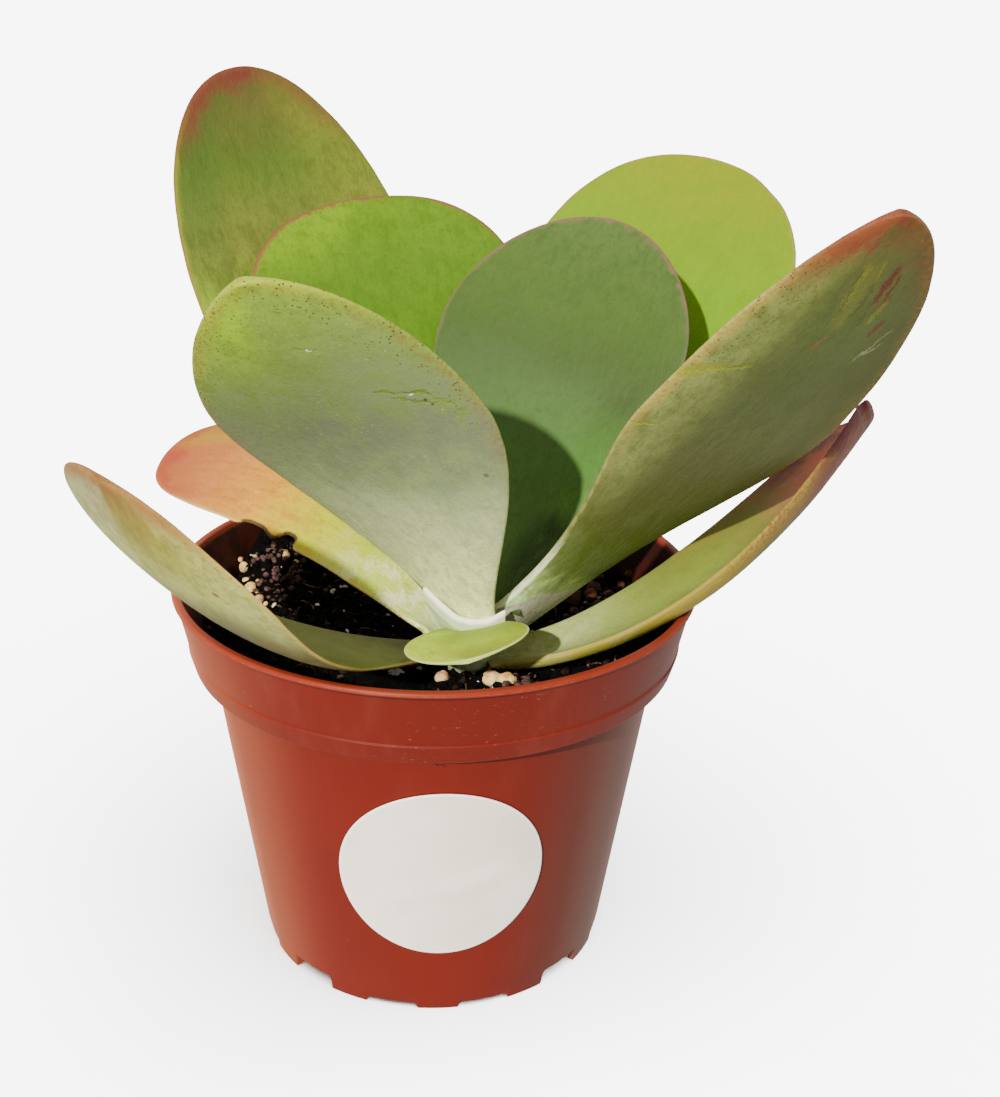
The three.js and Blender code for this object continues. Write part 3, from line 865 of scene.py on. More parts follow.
def soil_top(x, y):
    """Height of the soil, in the same waves as the part's own: it rises to the back."""
    r = np.hypot(x, y)
    heading = math.radians(SOIL_MOUND["heading"])
    mx, my = SOIL_MOUND["reach"] * math.cos(heading), SOIL_MOUND["reach"] * math.sin(heading)
    off = np.hypot(x - mx, y - my) / SOIL_MOUND["width"]
    swell = np.hypot(
        (x - SOIL_SWELL["x"]) / SOIL_SWELL["across"], (y - SOIL_SWELL["y"]) / SOIL_SWELL["along"])
    rise = (
        SOIL_MOUND["height"] * np.exp(-off * off)
        + SOIL_SWELL["height"] * np.exp(-swell * swell)
        + SOIL_BACK_RISE * y / POT["rim"]
    )
    crumbs = (
        np.sin(x * 0.9 + 1.3 * np.sin(y * 0.55)) * np.cos(y * 0.8 + 0.9 * np.sin(x * 0.6))
        + 0.5 * np.sin(x * 1.9 + y * 1.1) * np.cos(y * 1.7 - x * 0.8)
    )
    level = bpy.context.scene.paddle_soil.level / MM
    height = level + rise + CRUMB_HEIGHT * crumbs * np.clip(r / 12, 0.3, 1)
    return np.minimum(height, SOIL_CREST)


def soil_skin(x, y):
    """The soil's height with its crumbly relief."""
    height, size = SOIL_LUMPS
    lumps = 1 - np.abs(fractal(flat_spots(x, y, size), 3, 3))
    skin = soil_top(x, y) + height * (lumps - LUMP_MIDDLE)
    height, size = SOIL_FINE
    return skin + height * fractal(flat_spots(x, y, size), 3, 9)


def soil_circle(radius, angles, height):
    """A ring of the soil; the height is a number, or a rule that gives it at each place."""
    x, y = radius * np.cos(angles), radius * np.sin(angles)
    return np.stack([x, y, height(x, y) if callable(height) else 0 * x + height], -1)


def soil_radius():
    shelf = COLLAR_FOOT + POT["wall"]
    return collar_radius(shelf) - POT["wall"] - SOIL_GAP


def soil_rings():
    """Rings of the soil, from its bottom up the pot's inside and in over its top."""
    a = angles_round(SOIL_SIDES)
    shelf = COLLAR_FOOT + POT["wall"]
    bottom = FLOOR_UNDERSIDE + FLOOR_THICKNESS + SOIL_GAP
    neck = wall_radius(shelf) - POT["wall"] - SOIL_GAP
    top = soil_radius()
    sides = (
        (wall_radius(bottom) - POT["wall"] - SOIL_GAP, bottom),
        (neck, shelf),
        (neck, shelf + SOIL_GAP),
        (top, shelf + SOIL_GAP),
    )
    rings = [soil_circle(radius, a, height) for radius, height in sides]
    for i in range(SOIL_RINGS):
        ring = soil_circle(top * (1 - i / SOIL_RINGS), a, soil_skin)
        ring[:, 2] = np.maximum(ring[:, 2], shelf + 2 * SOIL_GAP)
        rings.append(ring)
    return np.asarray(rings)


def peat_finish(colour):
    """Moist peat: near black, with brown crumbs and a faint damp gloss."""
    g = Finish("peat", 0.05)
    cloud = g.noise(260, 6, 0.65)
    crumbs = g.noise(1500, 4, 0.7)
    g.tone = g.mix(g.smooth(cloud, 0.35, 0.7), srgb(5, 4, 3), (*colour, 1.0))
    g.paint(g.smooth(crumbs, 0.6, 0.74) * 0.35, (40, 28, 22))
    g.paint(g.dots(900, 0.07, 0.13) * g.smooth(g.noise(240), 0.5, 0.62) * 0.3, (120, 104, 90))
    return g.done(0.62 + 0.3 * crumbs, (crumbs, 0.35), (g.noise(420, 5, 0.7), 0.9))


def crumb_finish():
    """Loose crumbs, each in its own shade of dark brown."""
    g = Finish("peat_crumb", 0.05)
    g.tone = g.ramp(g.number("tone"), (
        (0.0, (3, 2, 2)), (0.76, (8, 5, 4)), (0.93, (36, 24, 19)), (1.0, (104, 78, 62))))
    shade = g.noise(1800, 3, 0.6)
    g.paint(g.smooth(shade, 0.4, 0.7) * 0.5, (10, 7, 6))
    return g.done(0.7 + 0.2 * shade, (shade, 0.15))


def grain_finish():
    """Pale porous grains, from white to tan."""
    g = Finish("pale_grain", 0.1)
    g.tone = g.ramp(g.number("tone"), (
        (0.0, (150, 128, 104)), (0.45, (206, 190, 160)), (1.0, (240, 236, 226))))
    pores = g.noise(1600, 4, 0.7)
    g.paint(g.smooth(pores, 0.52, 0.7) * 0.5, (120, 98, 76))
    return g.done(0.85, (pores, 0.25))


def fibre_finish():
    """Short dry fibres, brown to straw."""
    g = Finish("peat_fibre", 0.05)
    g.tone = g.ramp(g.number("tone"), (
        (0.0, (14, 9, 7)), (0.6, (44, 28, 19)), (1.0, (120, 90, 62))))
    return g.done(0.6)


def strewn_rule(name, kind):
    """Small shapes strewn over a surface, each with its own size, turn and shade."""
    rule = Rule(name)
    density = rule.number("Density")
    smallest = rule.number("Smallest")
    largest = rule.number("Largest")
    seed = rule.named("Seed", "NodeSocketInt")
    material = rule.named("Material", "NodeSocketMaterial")
    points = rule.node("GeometryNodeDistributePointsOnFaces", {"distribute_method": "RANDOM"}, {
        "Mesh": rule.inputs.outputs["Geometry"], "Density": density, "Seed": seed})
    if kind == "fibre":
        shape = fibre_shape(rule)
    else:
        shape = rule.node("GeometryNodeMeshIcoSphere", None, {
            "Radius": 0.5, "Subdivisions": FINENESS[kind]}).outputs[0]
    random_value = "FunctionNodeRandomValue"
    tilt = FIBRE_TILT if kind == "fibre" else math.pi
    turn = rule.node(random_value, {"data_type": "FLOAT_VECTOR"}, {
        0: (-tilt, -tilt, 0.0), 1: (tilt, tilt, 2 * math.pi), "Seed": seed}).outputs[0]
    size = rule.value(
        random_value, {"data_type": "FLOAT"}, {2: smallest, 3: largest, "Seed": seed}, 1)
    proportion = rule.node(random_value, {"data_type": "FLOAT_VECTOR"}, {
        0: LEAST_PROPORTION, 1: MOST_PROPORTION, "Seed": PROPORTION_SEED}).outputs[0]
    scale = rule.vector_maths("MULTIPLY", proportion, rule.combine(size, size, size))
    placed_shapes = rule.node("GeometryNodeInstanceOnPoints", None, {
        "Points": points.outputs[0], "Instance": shape, "Rotation": turn, "Scale": scale})
    tone = rule.value(
        random_value, {"data_type": "FLOAT"}, {2: 0.0, 3: 1.0, "Seed": TONE_SEED}, 1)
    stored = {"data_type": "FLOAT", "domain": "INSTANCE"}
    toned = rule.node("GeometryNodeStoreNamedAttribute", stored, {
        "Geometry": placed_shapes.outputs[0], "Name": "tone", "Value": tone})
    position = rule.node("GeometryNodeInputPosition").outputs[0]
    bumps = rule.node("ShaderNodeTexNoise", None, {
        "Vector": position, "Scale": STREWN_NOISE, "Detail": 1.0})
    push = rule.vector_maths("SUBTRACT", bumps.outputs["Color"], (0.5, 0.5, 0.5))
    push = rule.vector_maths("MULTIPLY", push, (STREWN_ROUGHNESS[kind] * MM,) * 3)
    moved = rule.node("GeometryNodeSetPosition", None, {
        "Geometry": rule.realized(toned.outputs[0]), "Offset": push})
    rule.close(moved.outputs[0], material)
    return rule


def fibre_shape(rule):
    """A short bent rod, one unit long, with four sides."""
    arc = rule.node("GeometryNodeCurveArc", None, {
        "Resolution": 6, "Radius": 0.8, "Start Angle": 0.3, "Sweep Angle": 1.25})
    side = rule.node("GeometryNodeCurvePrimitiveCircle", None, {
        "Resolution": 4, "Radius": 0.035})
    tube = rule.node("GeometryNodeCurveToMesh", None, {
        "Curve": arc.outputs[0], "Profile Curve": side.outputs[0], "Fill Caps": True})
    return rule.node("GeometryNodeTransform", None, {
        "Geometry": tube.outputs[0], "Translation": (-0.55, -0.55, 0.06)}).outputs[0]


def soil_ground():
    """The soil's open top alone, to strew things on, clear of the stem."""
    a = angles_round(GROUND_SIDES)
    radii = np.linspace(soil_radius() - GROUND_MARGIN, 1.0, GROUND_RINGS)
    points = np.asarray([soil_circle(radius, a, soil_skin) for radius in radii]).reshape(-1, 3)
    points[:, 2] += GROUND_LIFT
    faces = []
    for i in range(len(radii) - 1):
        for j in range(GROUND_SIDES):
            k = (j + 1) % GROUND_SIDES
            first, last = i * GROUND_SIDES, (i + 1) * GROUND_SIDES
            quad = (first + j, first + k, last + k, last + j)
            middle = points[list(quad)].mean(0)
            reach = math.hypot(middle[0] - STEM["x"], middle[1] - STEM["y"])
            if reach > STEM["radius"] + STEM_CLEARANCE:
                faces.append(quad)
    return placed("soil_ground", plain_mesh("soil_ground", in_place(points), [], faces))


class PLANT_OT_soil(bpy.types.Operator):
    """Fill the pot with peat and strew crumbs, pale grains and fibres on it"""

    bl_idname = "paddle_plant.soil"
    bl_label = "Peat"

    def execute(self, context):
        wanted = context.scene.paddle_soil
        rings = soil_rings()
        faces = loft_faces(len(rings), SOIL_SIDES)
        bed = mesh_object("peat_bed", in_place(loft_points(rings)), faces)
        bed.data.materials.append(peat_finish(wanted.peat))
        finished(bed, "soil", "soil")
        ground = soil_ground()
        # Name, shape, how many on a square metre, smallest and largest size, seed, look and slot
        strewn = (
            ("peat_crumbs", "crumb", wanted.crumb_density, 0.5, 1.9, 3, crumb_finish(), "soil"),
            ("pale_grains", "grain", wanted.grain_density, 0.35, 1.3, 5, grain_finish(),
             "stone_white"),
            ("peat_fibres", "fibre", wanted.fibre_density, 1.6, 5.0, 8, fibre_finish(), "soil"),
        )
        for name, kind, density, small, large, seed, material, slot in strewn:
            made = strewn_rule(name, kind).applied_to(
                ground, density=density, smallest=small * MM, largest=large * MM,
                seed=seed, material=material)
            made.name = name
            finished(made, slot)
        discard(ground)
        return {"FINISHED"}


# Stones

# Place on the soil, half sizes, turn and seed; and how much a waist draws the stone in
STONES = [
    dict(zip(("name", "slot", "x", "y", "size", "turn", "seed", "waist"), stone)) for stone in (
        ("stone_cream", "stone_pale", 11.5, -26.3, (3.5, 2, 2), -6, 11, 0.5),
        ("stone_white", "stone_white", -7.2, -16, (1.9, 1.3, 1.1), -25, 13),
        ("stone_tan", "stone_tan", 1.2, -18.7, (1.6, 1.3, 1.3), 40, 14),
        ("stone_left_upper", "stone_pale", -39.2, 20.4, (1, 1, 1.2), 10, 15),
        ("stone_left_middle", "stone_pale", -37.4, 15.6, (1.4, 1.2, 1.3), 60, 16),
        ("stone_left_lower", "stone_tan", -35.3, 11.4, (1.2, 1, 1), 30, 17),
        ("stone_right_near", "stone_brown", 27.5, 11.5, (2.1, 1.8, 2), 20, 19),
        ("stone_right_far", "stone_brown", 32.3, 16.2, (2, 1.8, 2), 70, 20),
    )
]
STONE_SUNK = 0.3
# Bumps of a stone: height and pitch against its size, octaves and what is added to its seed
STONE_ROUNDNESS = 0.93
STONE_BUMPS = ((0.16, 1.3, 2, 0), (0.07, 4, 3, 5))
STONE_FACETS = (0.14, 2.1, 1, 9)
WAIST_PLACE, WAIST_WIDTH = 0.2, 0.28
STONE_FINENESS = 5
LUMP_FINENESS = 3
LUMP_PROPORTIONS = (1, 0.85, 0.8)
WALL_CLEARANCE = 1.5

# Small pale pebbles on the heap at the back left: place and radius
MOUND_PEBBLES = (
    (-38.6, 18.4, 0.9), (-38.2, 13.8, 0.7), (-30.7, 22.5, 1.1), (-28.7, 22.0, 0.9),
    (-36.2, 17.6, 0.6), (-33.8, 9.9, 0.6), (-40.0, 22.4, 0.7), (-35.9, 13.6, 0.6),
    (-27.6, 19.4, 0.5),
)

# Brown lumps between the two lowest leaves at the right: place and radius
SHADED_LUMPS = (
    (26.6, 1.4, 1.1), (29.0, 4.0, 1.5), (30.6, 5.6, 1.2), (32.6, 9.6, 1.4), (31.4, 13.4, 1.6),
    (35.2, 13.4, 1.3), (38, 18, 1.2), (40.5, 22.5, 1.3), (25.0, -1.8, 0.9), (33.5, 6.2, 1.0),
)

# Strewn lumps: name, look, seed, how many, middle, spread, smallest and largest radius
LOOSE_LUMPS = (
    ("mound_crumbs", "dark_crumb", 5, 130, -32.4, 20.5, 3.2, 5.5, 0.3, 0.85),
    ("front_crumbs", "dark_crumb", 6, 90, 19.5, -26.5, 3.4, 2.6, 0.6, 1.35),
    ("rim_crumbs", "dark_crumb", 8, 150, -26, -31, 10, 5, 0.3, 0.75),
    ("wall_crumbs", "dark_crumb", 7, 40, 32, 10, 5, 8, 0.5, 1.3),
)

# The pale, the deep and the stain colour of each look
STONE_COLOURS = {
    "stone_pale": ((226, 194, 126), (176, 134, 76), (198, 118, 44)),
    "stone_white": ((238, 235, 222), (196, 184, 160), (210, 196, 160)),
    "stone_tan": ((214, 178, 132), (160, 112, 70), (196, 128, 64)),
    "stone_brown": ((84, 60, 54), (44, 30, 27), (72, 42, 34)),
    "shaded_lump": ((100, 60, 40), (58, 32, 22), (86, 40, 26)),
    "dark_crumb": ((88, 64, 58), (30, 21, 19), (66, 40, 34)),
}


def stone_finish(look):
    """Rough porous mineral with pits and a rusty stain."""
    pale, deep, stain = STONE_COLOURS[look]
    g = Finish(look + "_mineral", 0.1)
    broad = g.noise(420, 5, 0.65)
    pits = g.noise(1700, 4, 0.7)
    g.tone = srgb(*pale)
    g.paint(g.smooth(broad, 0.4, 0.68), deep)
    g.paint(g.smooth(g.noise(260, 2, 0.5), 0.55, 0.68) * 0.7, stain)
    g.paint(g.smooth(pits, 0.58, 0.7) * 0.55, (70, 54, 42))
    return g.done(0.82 + 0.1 * broad, (pits, 0.18), (broad, 0.3))


def stone_shape(stone, fineness):
    """A lumpy pebble, narrower at its waist where it has one, sunk a little in the soil."""
    shape = bmesh.new()
    bmesh.ops.create_icosphere(shape, subdivisions=fineness, radius=1)
    unit = np.array([v.co for v in shape.verts])
    faces = [tuple(v.index for v in f.verts) for f in shape.faces]
    shape.free()
    seed = stone["seed"]
    out = STONE_ROUNDNESS
    for height, pitch, octaves, step in STONE_BUMPS:
        out = out + height * fractal(unit * pitch, octaves, seed + step)
    height, pitch, octaves, step = STONE_FACETS
    facets = np.maximum(0, fractal(unit * pitch, octaves, seed + step)) * height
    points = unit * (out - facets)[:, None] * np.array(stone["size"])
    waist = stone.get("waist", 0)
    from_waist = (points[:, 0] - WAIST_PLACE) / (WAIST_WIDTH * stone["size"][0])
    pinch = 1 - waist * np.exp(-from_waist ** 2)
    points[:, 1:] *= pinch[:, None]
    turn = math.radians(stone["turn"])
    x, y = points[:, 0].copy(), points[:, 1].copy()
    points[:, 0] = stone["x"] + x * math.cos(turn) - y * math.sin(turn)
    points[:, 1] = stone["y"] + x * math.sin(turn) + y * math.cos(turn)
    ground = float(soil_top(np.array([stone["x"]]), np.array([stone["y"]]))[0])
    points[:, 2] += ground + stone["size"][2] * (1 - 2 * STONE_SUNK)
    return points, faces


def heap_of(name, places, slot, look):
    """Small lumps, each (x, y, radius), lying on the soil as one piece."""
    points, faces = [], []
    for number, (x, y, radius) in enumerate(places):
        size = tuple(radius * part for part in LUMP_PROPORTIONS)
        lump = {"x": x, "y": y, "size": size, "turn": 50 * number, "seed": 40 + number}
        made, sides = stone_shape(lump, LUMP_FINENESS)
        faces += [tuple(i + len(points) * len(made) for i in side) for side in sides]
        points.append(made)
    heap = mesh_object(name, in_place(np.concatenate(points)), faces)
    heap.data.materials.append(stone_finish(look))
    finished(heap, slot)


def strewn_places(seed, count, x, y, spread_x, spread_y, small, large):
    """Places of loose lumps round a point of the soil."""
    draw = random.Random(seed)
    places = []
    while len(places) < count:
        at = (x + draw.gauss(0, spread_x), y + draw.gauss(0, spread_y))
        if math.hypot(*at) < soil_radius() - WALL_CLEARANCE:
            places.append((*at, draw.uniform(small, large)))
    return places


class PLANT_OT_stones(bpy.types.Operator):
    """Set the stones on the soil"""

    bl_idname = "paddle_plant.stones"
    bl_label = "Stones"

    def execute(self, context):
        finishes = {slot: stone_finish(slot) for slot in {stone["slot"] for stone in STONES}}
        for stone in STONES:
            points, faces = stone_shape(stone, STONE_FINENESS)
            made = mesh_object(stone["name"] + "_rough", in_place(points), faces)
            made.data.materials.append(finishes[stone["slot"]])
            finished(made, stone["slot"], stone["name"])
        heap_of("mound_pebbles", MOUND_PEBBLES, "stone_pale", "stone_pale")
        heap_of("shaded_lumps", SHADED_LUMPS, "stone_brown", "shaded_lump")
        for name, look, *rest in LOOSE_LUMPS:
            heap_of(name, strewn_places(*rest), "stone_brown", look)
        return {"FINISHED"}


# Stem

STEM = {"x": 6, "y": -13, "bottom": 50, "top": 82, "radius": 4.2}
STEM_JOINT_PITCH = 7
SHEATH_RIM = [
    (-2, -17.5, 81), (1.6, -19.8, 78.4), (4.6, -21.2, 76.7), (9, -21.7, 76.5), (12.6, -20.9, 78),
]
SHEATH_STATIONS = 60
SHEATH_HALF_WALL = 0.75
SHEATH_ROOT = {"radius": 3, "low": 66.5, "high": 70}
# Section of the sheath's wall: out from its middle and down from its top, in parts of half the
# wall, and millimetres further down
SHEATH_SECTION = (
    (0.8, 0, 2.6), (1, 1, 0), (0.7, 0.25, 0), (0, 0, 0), (-0.7, 0.25, 0), (-1, 1, 0),
    (-0.9, 0, 2.8),
)
STEM_SIDES = 96
STEM_STATIONS = 90
STEM_VOXEL = 0.22
STEM_SOFTENING = {"factor": 0.5, "iterations": 3}
STEM_SWELL = 0.35
# Under the soil's level the stem is this much thinner, to stay clear of the hole's side
STEM_FOOT = {"below": 63.6, "thinner": 0.3}
# The stem's rounded top: parts of its radius, and heights over its end
STEM_CROWN = ((0.85, 0.9), (0.55, 1.6), (0.2, 2.1))


def stem_shell():
    """The short stem, a little thicker where each pair of leaves sits."""
    z = np.linspace(STEM["bottom"], STEM["top"], STEM_STATIONS)
    swell = STEM_SWELL * np.cos((z - STEM["bottom"]) / STEM_JOINT_PITCH * math.pi * 2)
    foot = np.where(z < STEM_FOOT["below"], STEM_FOOT["thinner"], 0)
    r = STEM["radius"] + swell - foot
    part, over = np.array(STEM_CROWN).T
    r = np.concatenate([r, r[-1] * part])[:, None]
    z = np.concatenate([z, STEM["top"] + over])[:, None]
    a = angles_round(STEM_SIDES)
    rings = np.stack([STEM["x"] + r * np.cos(a), STEM["y"] + r * np.sin(a), z + 0 * a], -1)
    return loft_points(rings), loft_faces(len(rings), STEM_SIDES)


def through(points, count):
    """Points on a smooth curve through the given ones."""
    points = np.asarray(points, float)
    padded = np.vstack([2 * points[0] - points[1], points, 2 * points[-1] - points[-2]])
    made = []
    for place in np.linspace(0, len(points) - 1, count):
        i = min(int(place), len(points) - 2)
        t = place - i
        a, b, c, d = padded[i:i + 4]
        bend = (2 * a - 5 * b + 4 * c - d) * t**2 + (3 * b - a - 3 * c + d) * t**3
        made.append(0.5 * (2 * b + (c - a) * t + bend))
    return np.asarray(made)


def sheath_shell():
    """The wall that two joined leaf bases make in front of the stem, with its thick rim."""
    rings = []
    for i, top in enumerate(through(SHEATH_RIM, SHEATH_STATIONS)):
        part = i / (SHEATH_STATIONS - 1)
        heading = math.atan2(top[1] - STEM["y"], top[0] - STEM["x"])
        out = math.hypot(top[1] - STEM["y"], top[0] - STEM["x"])
        wall = SHEATH_HALF_WALL * (0.45 + 0.55 * math.sin(math.pi * part))
        section = [
            (SHEATH_ROOT["radius"], SHEATH_ROOT["low"]),
            *[(out + far * wall, top[2] - down * wall - drop)
              for far, down, drop in SHEATH_SECTION],
            (SHEATH_ROOT["radius"], SHEATH_ROOT["high"]),
        ]
        rings.append([
            (STEM["x"] + r * math.cos(heading), STEM["y"] + r * math.sin(heading), z)
            for r, z in section
        ])
    return loft_points(rings), loft_faces(len(rings), len(rings[0]))


def stem_finish():
    """Pale green stem, its sheath white with bloom at the rim."""
    g = Finish("stem_skin", 0.15)
    height = g.apart(g.place)[2] / MM
    cloud = g.noise(220, 4, 0.6)
    g.tone = srgb(120, 134, 84)
    g.paint(g.smooth(height, 66, 74), (176, 190, 142))
    g.paint(g.smooth(cloud, 0.45, 0.7) * 0.5, (196, 206, 170))
    from_rim = g.number("rim") + (g.noise(500, 3, 0.6) - 0.5) * 0.5
    g.paint(g.fade(from_rim, 0.75, 1.35), (236, 232, 206))
    return g.done(0.55 + 0.2 * cloud, (g.noise(1100, 3, 0.6), 0.05), (cloud, 0.12))


class PLANT_OT_stem(bpy.types.Operator):
    """Grow the stem and the sheath at its top"""

    bl_idname = "paddle_plant.stem"
    bl_label = "Stem"

    def execute(self, context):
        points, faces = stem_shell()
        more, more_faces = sheath_shell()
        faces = faces + [tuple(i + len(points) for i in f) for f in more_faces]
        rough = mesh_object("stem_rough", in_place(np.vstack([points, more])), faces)
        remesh = rough.modifiers.new("fuse", "REMESH")
        remesh.mode = "VOXEL"
        remesh.voxel_size = STEM_VOXEL * MM
        soften = rough.modifiers.new("soften", "SMOOTH")
        soften.factor = STEM_SOFTENING["factor"]
        soften.iterations = STEM_SOFTENING["iterations"]
        stem = baked(rough)
        discard(rough)
        stem.name = "stem_and_sheath"
        shade_smooth(stem.data)
        places = np.empty(len(stem.data.vertices) * 3)
        stem.data.vertices.foreach_get("co", places)
        places = (places.reshape(-1, 3) - np.array(AXIS)) / MM
        rim = through(SHEATH_RIM, SHEATH_STATIONS)
        nearest = np.min([np.linalg.norm(places - point, axis=1) for point in rim], axis=0)
        stem.data.attributes.new("rim", "FLOAT", "POINT").data.foreach_set("value", nearest)
        stem.data.materials.append(stem_finish())
        finished(stem, "stem", "stem")
        return {"FINISHED"}


# Leaves

EDGE_ROUNDNESS = 2.7
CENTRE_STEPS = 160
CLASP_LENGTH = 0.09
TAIL_RINGS = 7
# Stations crowd towards the tip by this power, and stop just short of it
STATION_CROWDING = 1.7
LAST_STATION = 0.9994
# The blade is no thicker than this and this part of its half width
THIN_EDGE, THIN_PART = 0.12, 0.55
NARROWEST = 0.02
# Uneven margin, broad waves and fine skin: height and size of the bumps in millimetres
MARGIN_BUMPS = (0.13, 5)
BROAD_WAVES = (0.35, 17)
FINE_SKIN = (0.05, 4)
OUTLINE_STEPS = 260
OUTLINE_CHUNK = 40
LEAF_SEEDS = (100, 7)

# Lengths and widths in millimetres, angles in degrees, and places as parts of the length; a dent
# has its side, place, reach, depth and steepness
BLADE = {
    "turn": 0, "roll": 0, "roll_tip": 0, "base_width": 10, "widest": 0.63, "tip_round": 2.1,
    "shoulder": 1.25, "clasp": 50, "cup": 7, "bow": 0, "skew": 0, "tail": 1.5,
    "fleshy": 1, "dents": (),
}

LEAVES = [
    {"name": "leaf_back_left_tall", "base": (128, 5.2, 75.5), "heading": 122, "turn": 2, "rise": 34,
     "rise_tip": 62, "roll": 10, "roll_tip": -7, "length": 118, "width": 51.5},
    {"name": "leaf_back_left_broad", "base": (112, 5.2, 79), "heading": 107, "turn": 6, "rise": 45,
     "rise_tip": 49, "roll": -3, "roll_tip": 6, "length": 81.5, "width": 56.5, "widest": 0.66,
     "tip_round": 2.4, "dents": ((-1, 0.985, 0.012, 0.8, 2),)},
    {"name": "leaf_front_left", "base": (-95, 5.2, 75), "heading": 226, "turn": 1, "rise": 66,
     "rise_tip": 44, "roll": -7, "roll_tip": -28, "length": 86.5, "width": 53.5, "base_width": 12,
     "widest": 0.56, "tip_round": 1.5, "shoulder": 1.2, "clasp": 35, "bow": 4},
    {"name": "leaf_centre", "base": (68, 5.2, 82.5), "heading": 54, "turn": -4, "rise": 54,
     "rise_tip": 54, "roll": -13, "roll_tip": -7, "length": 70, "width": 50.5, "tip_round": 1.9,
     "tail": 8, "dents": ((1, 0.06, 0.16, -9.5, 2),)},
    {"name": "leaf_right_long", "base": (-14, 7, 72), "heading": -20, "turn": -31, "rise": 49,
     "rise_tip": 54, "roll": 37, "roll_tip": 16, "length": 108, "width": 45.5, "base_width": 13,
     "widest": 0.54, "tip_round": 1.7, "shoulder": 2.3, "clasp": 40, "skew": -0.3, "tail": 6},
    {"name": "leaf_back_right", "base": (50, 5.2, 71.5), "heading": 52, "turn": -2, "rise": 40,
     "rise_tip": 51, "roll": -7, "roll_tip": -10, "length": 105.5, "width": 58.5, "tip_round": 2.3,
     "dents": ((1, 0.965, 0.02, 0.6, 2),)},
    {"name": "leaf_left_low", "base": (165, 5.2, 71.5), "heading": 144, "turn": 14, "rise": 36,
     "rise_tip": 1, "roll": 17, "roll_tip": 20, "length": 66.5, "width": 29.5, "base_width": 15,
     "widest": 0.62, "tip_round": 2.5, "shoulder": 1.05, "clasp": 60, "bow": 3.5,
     "fleshy": 0.8, "tail": 3.5,
     "dents": ((-1, 0.585, 0.045, 1.3, 4), (-1, 0.478, 0.026, 2.7, 4))},
    {"name": "leaf_left_lowest", "base": (190, 5.2, 65), "heading": 207, "turn": 39, "rise": 8,
     "rise_tip": 66, "roll": -12, "roll_tip": 19, "length": 92, "width": 47.5, "base_width": 10.5,
     "widest": 0.74, "tip_round": 1.8, "shoulder": 1.05, "clasp": 45, "cup": 16, "bow": -1,
     "fleshy": 0.6},
    {"name": "leaf_right_lowest", "base": (-5, 5.2, 63.7), "heading": 11.6, "turn": 28.5,
     "rise": 15.1, "rise_tip": 31.2, "roll": -4.7, "roll_tip": 48, "length": 92.5, "width": 27.2,
     "base_width": 9, "widest": 0.66, "tip_round": 3.3, "shoulder": 1.1, "clasp": 60, "cup": 48,
     "bow": 12.5,
     "dents": ((1, 0.925, 0.022, 1.4, 4),)},
    {"name": "leaf_front_small", "base": (-92, 5.4, 73.1), "heading": -91, "rise": 10.5,
     "rise_tip": 9, "roll": -9, "roll_tip": -13, "length": 20.8, "width": 22.4,
     "base_width": 6, "widest": 0.49, "tip_round": 2.15, "shoulder": 0.7, "clasp": 14, "cup": 8,
     "fleshy": 0.45},
]
LEAVES = [{**BLADE, **leaf} for leaf in LEAVES]


def half_width(leaf, s):
    """Half the blade's width at parts s of its length."""
    base, full, widest = leaf["base_width"] / 2, leaf["width"] / 2, leaf["widest"]
    near = np.clip(s / widest, 0, 1)
    grown = base + (full - base) * np.sin(math.pi / 2 * near ** leaf["shoulder"])
    past = np.clip((s - widest) / (1 - widest), 0, 1)
    closed = full * (1 - past ** leaf["tip_round"]) ** (1 / leaf["tip_round"])
    return np.where(s <= widest, grown, closed)


def side_width(leaf, s, side, seed):
    """Half the width on one side, less its dents, with a slightly uneven margin."""
    dented = 0 * s
    for where, at, reach, depth, steepness in leaf["dents"]:
        if where == side:
            dented = dented + depth * np.exp(-np.abs((s - at) / reach) ** steepness)
    height, size = MARGIN_BUMPS
    spot = np.stack([s * leaf["length"] / size, 0 * s + side * 3.1, 0 * s], -1)
    uneven = height * fractal(spot, 3, seed) * smoothstep(0, 0.15, s)
    width = half_width(leaf, s)
    uneven = uneven * np.clip(width / 3, 0, 1)
    return np.maximum(width * (1 + side * leaf["skew"]) - dented + uneven, NARROWEST)


def middle_line(leaf):
    """The blade's middle line, with its directions across and up, at even steps."""
    tail = leaf["tail"] / leaf["length"]
    s = np.linspace(0, 1, CENTRE_STEPS + 1)
    heading = np.radians(leaf["heading"] + leaf["turn"] * s)
    rise = np.radians(lerp(leaf["rise"], leaf["rise_tip"], s))
    roll = np.radians(lerp(leaf["roll"], leaf["roll_tip"], s))[:, None]
    flat = np.cos(rise)
    along = np.stack([flat * np.cos(heading), flat * np.sin(heading), np.sin(rise)], -1)
    level = np.stack([np.sin(heading), -np.cos(heading), 0 * heading], -1)
    over = np.cross(level, along)
    across = level * np.cos(roll) + over * np.sin(roll)
    up = over * np.cos(roll) - level * np.sin(roll)
    turn, reach, height = leaf["base"]
    start = np.array([
        STEM["x"] + reach * math.cos(math.radians(turn)),
        STEM["y"] + reach * math.sin(math.radians(turn)),
        height,
    ])
    steps = (along[1:] + along[:-1]) / 2 * leaf["length"] / CENTRE_STEPS
    line = start + np.vstack([np.zeros(3), np.cumsum(steps, 0)])
    sunk = start - along[0] * leaf["tail"]
    return (
        np.concatenate([[-tail], s]),
        np.vstack([sunk, line]),
        np.vstack([across[0], across]),
        np.vstack([up[0], up]),
    )


def sampled(places, table, s):
    return np.stack([np.interp(s, places, table[:, axis]) for axis in range(3)], -1)


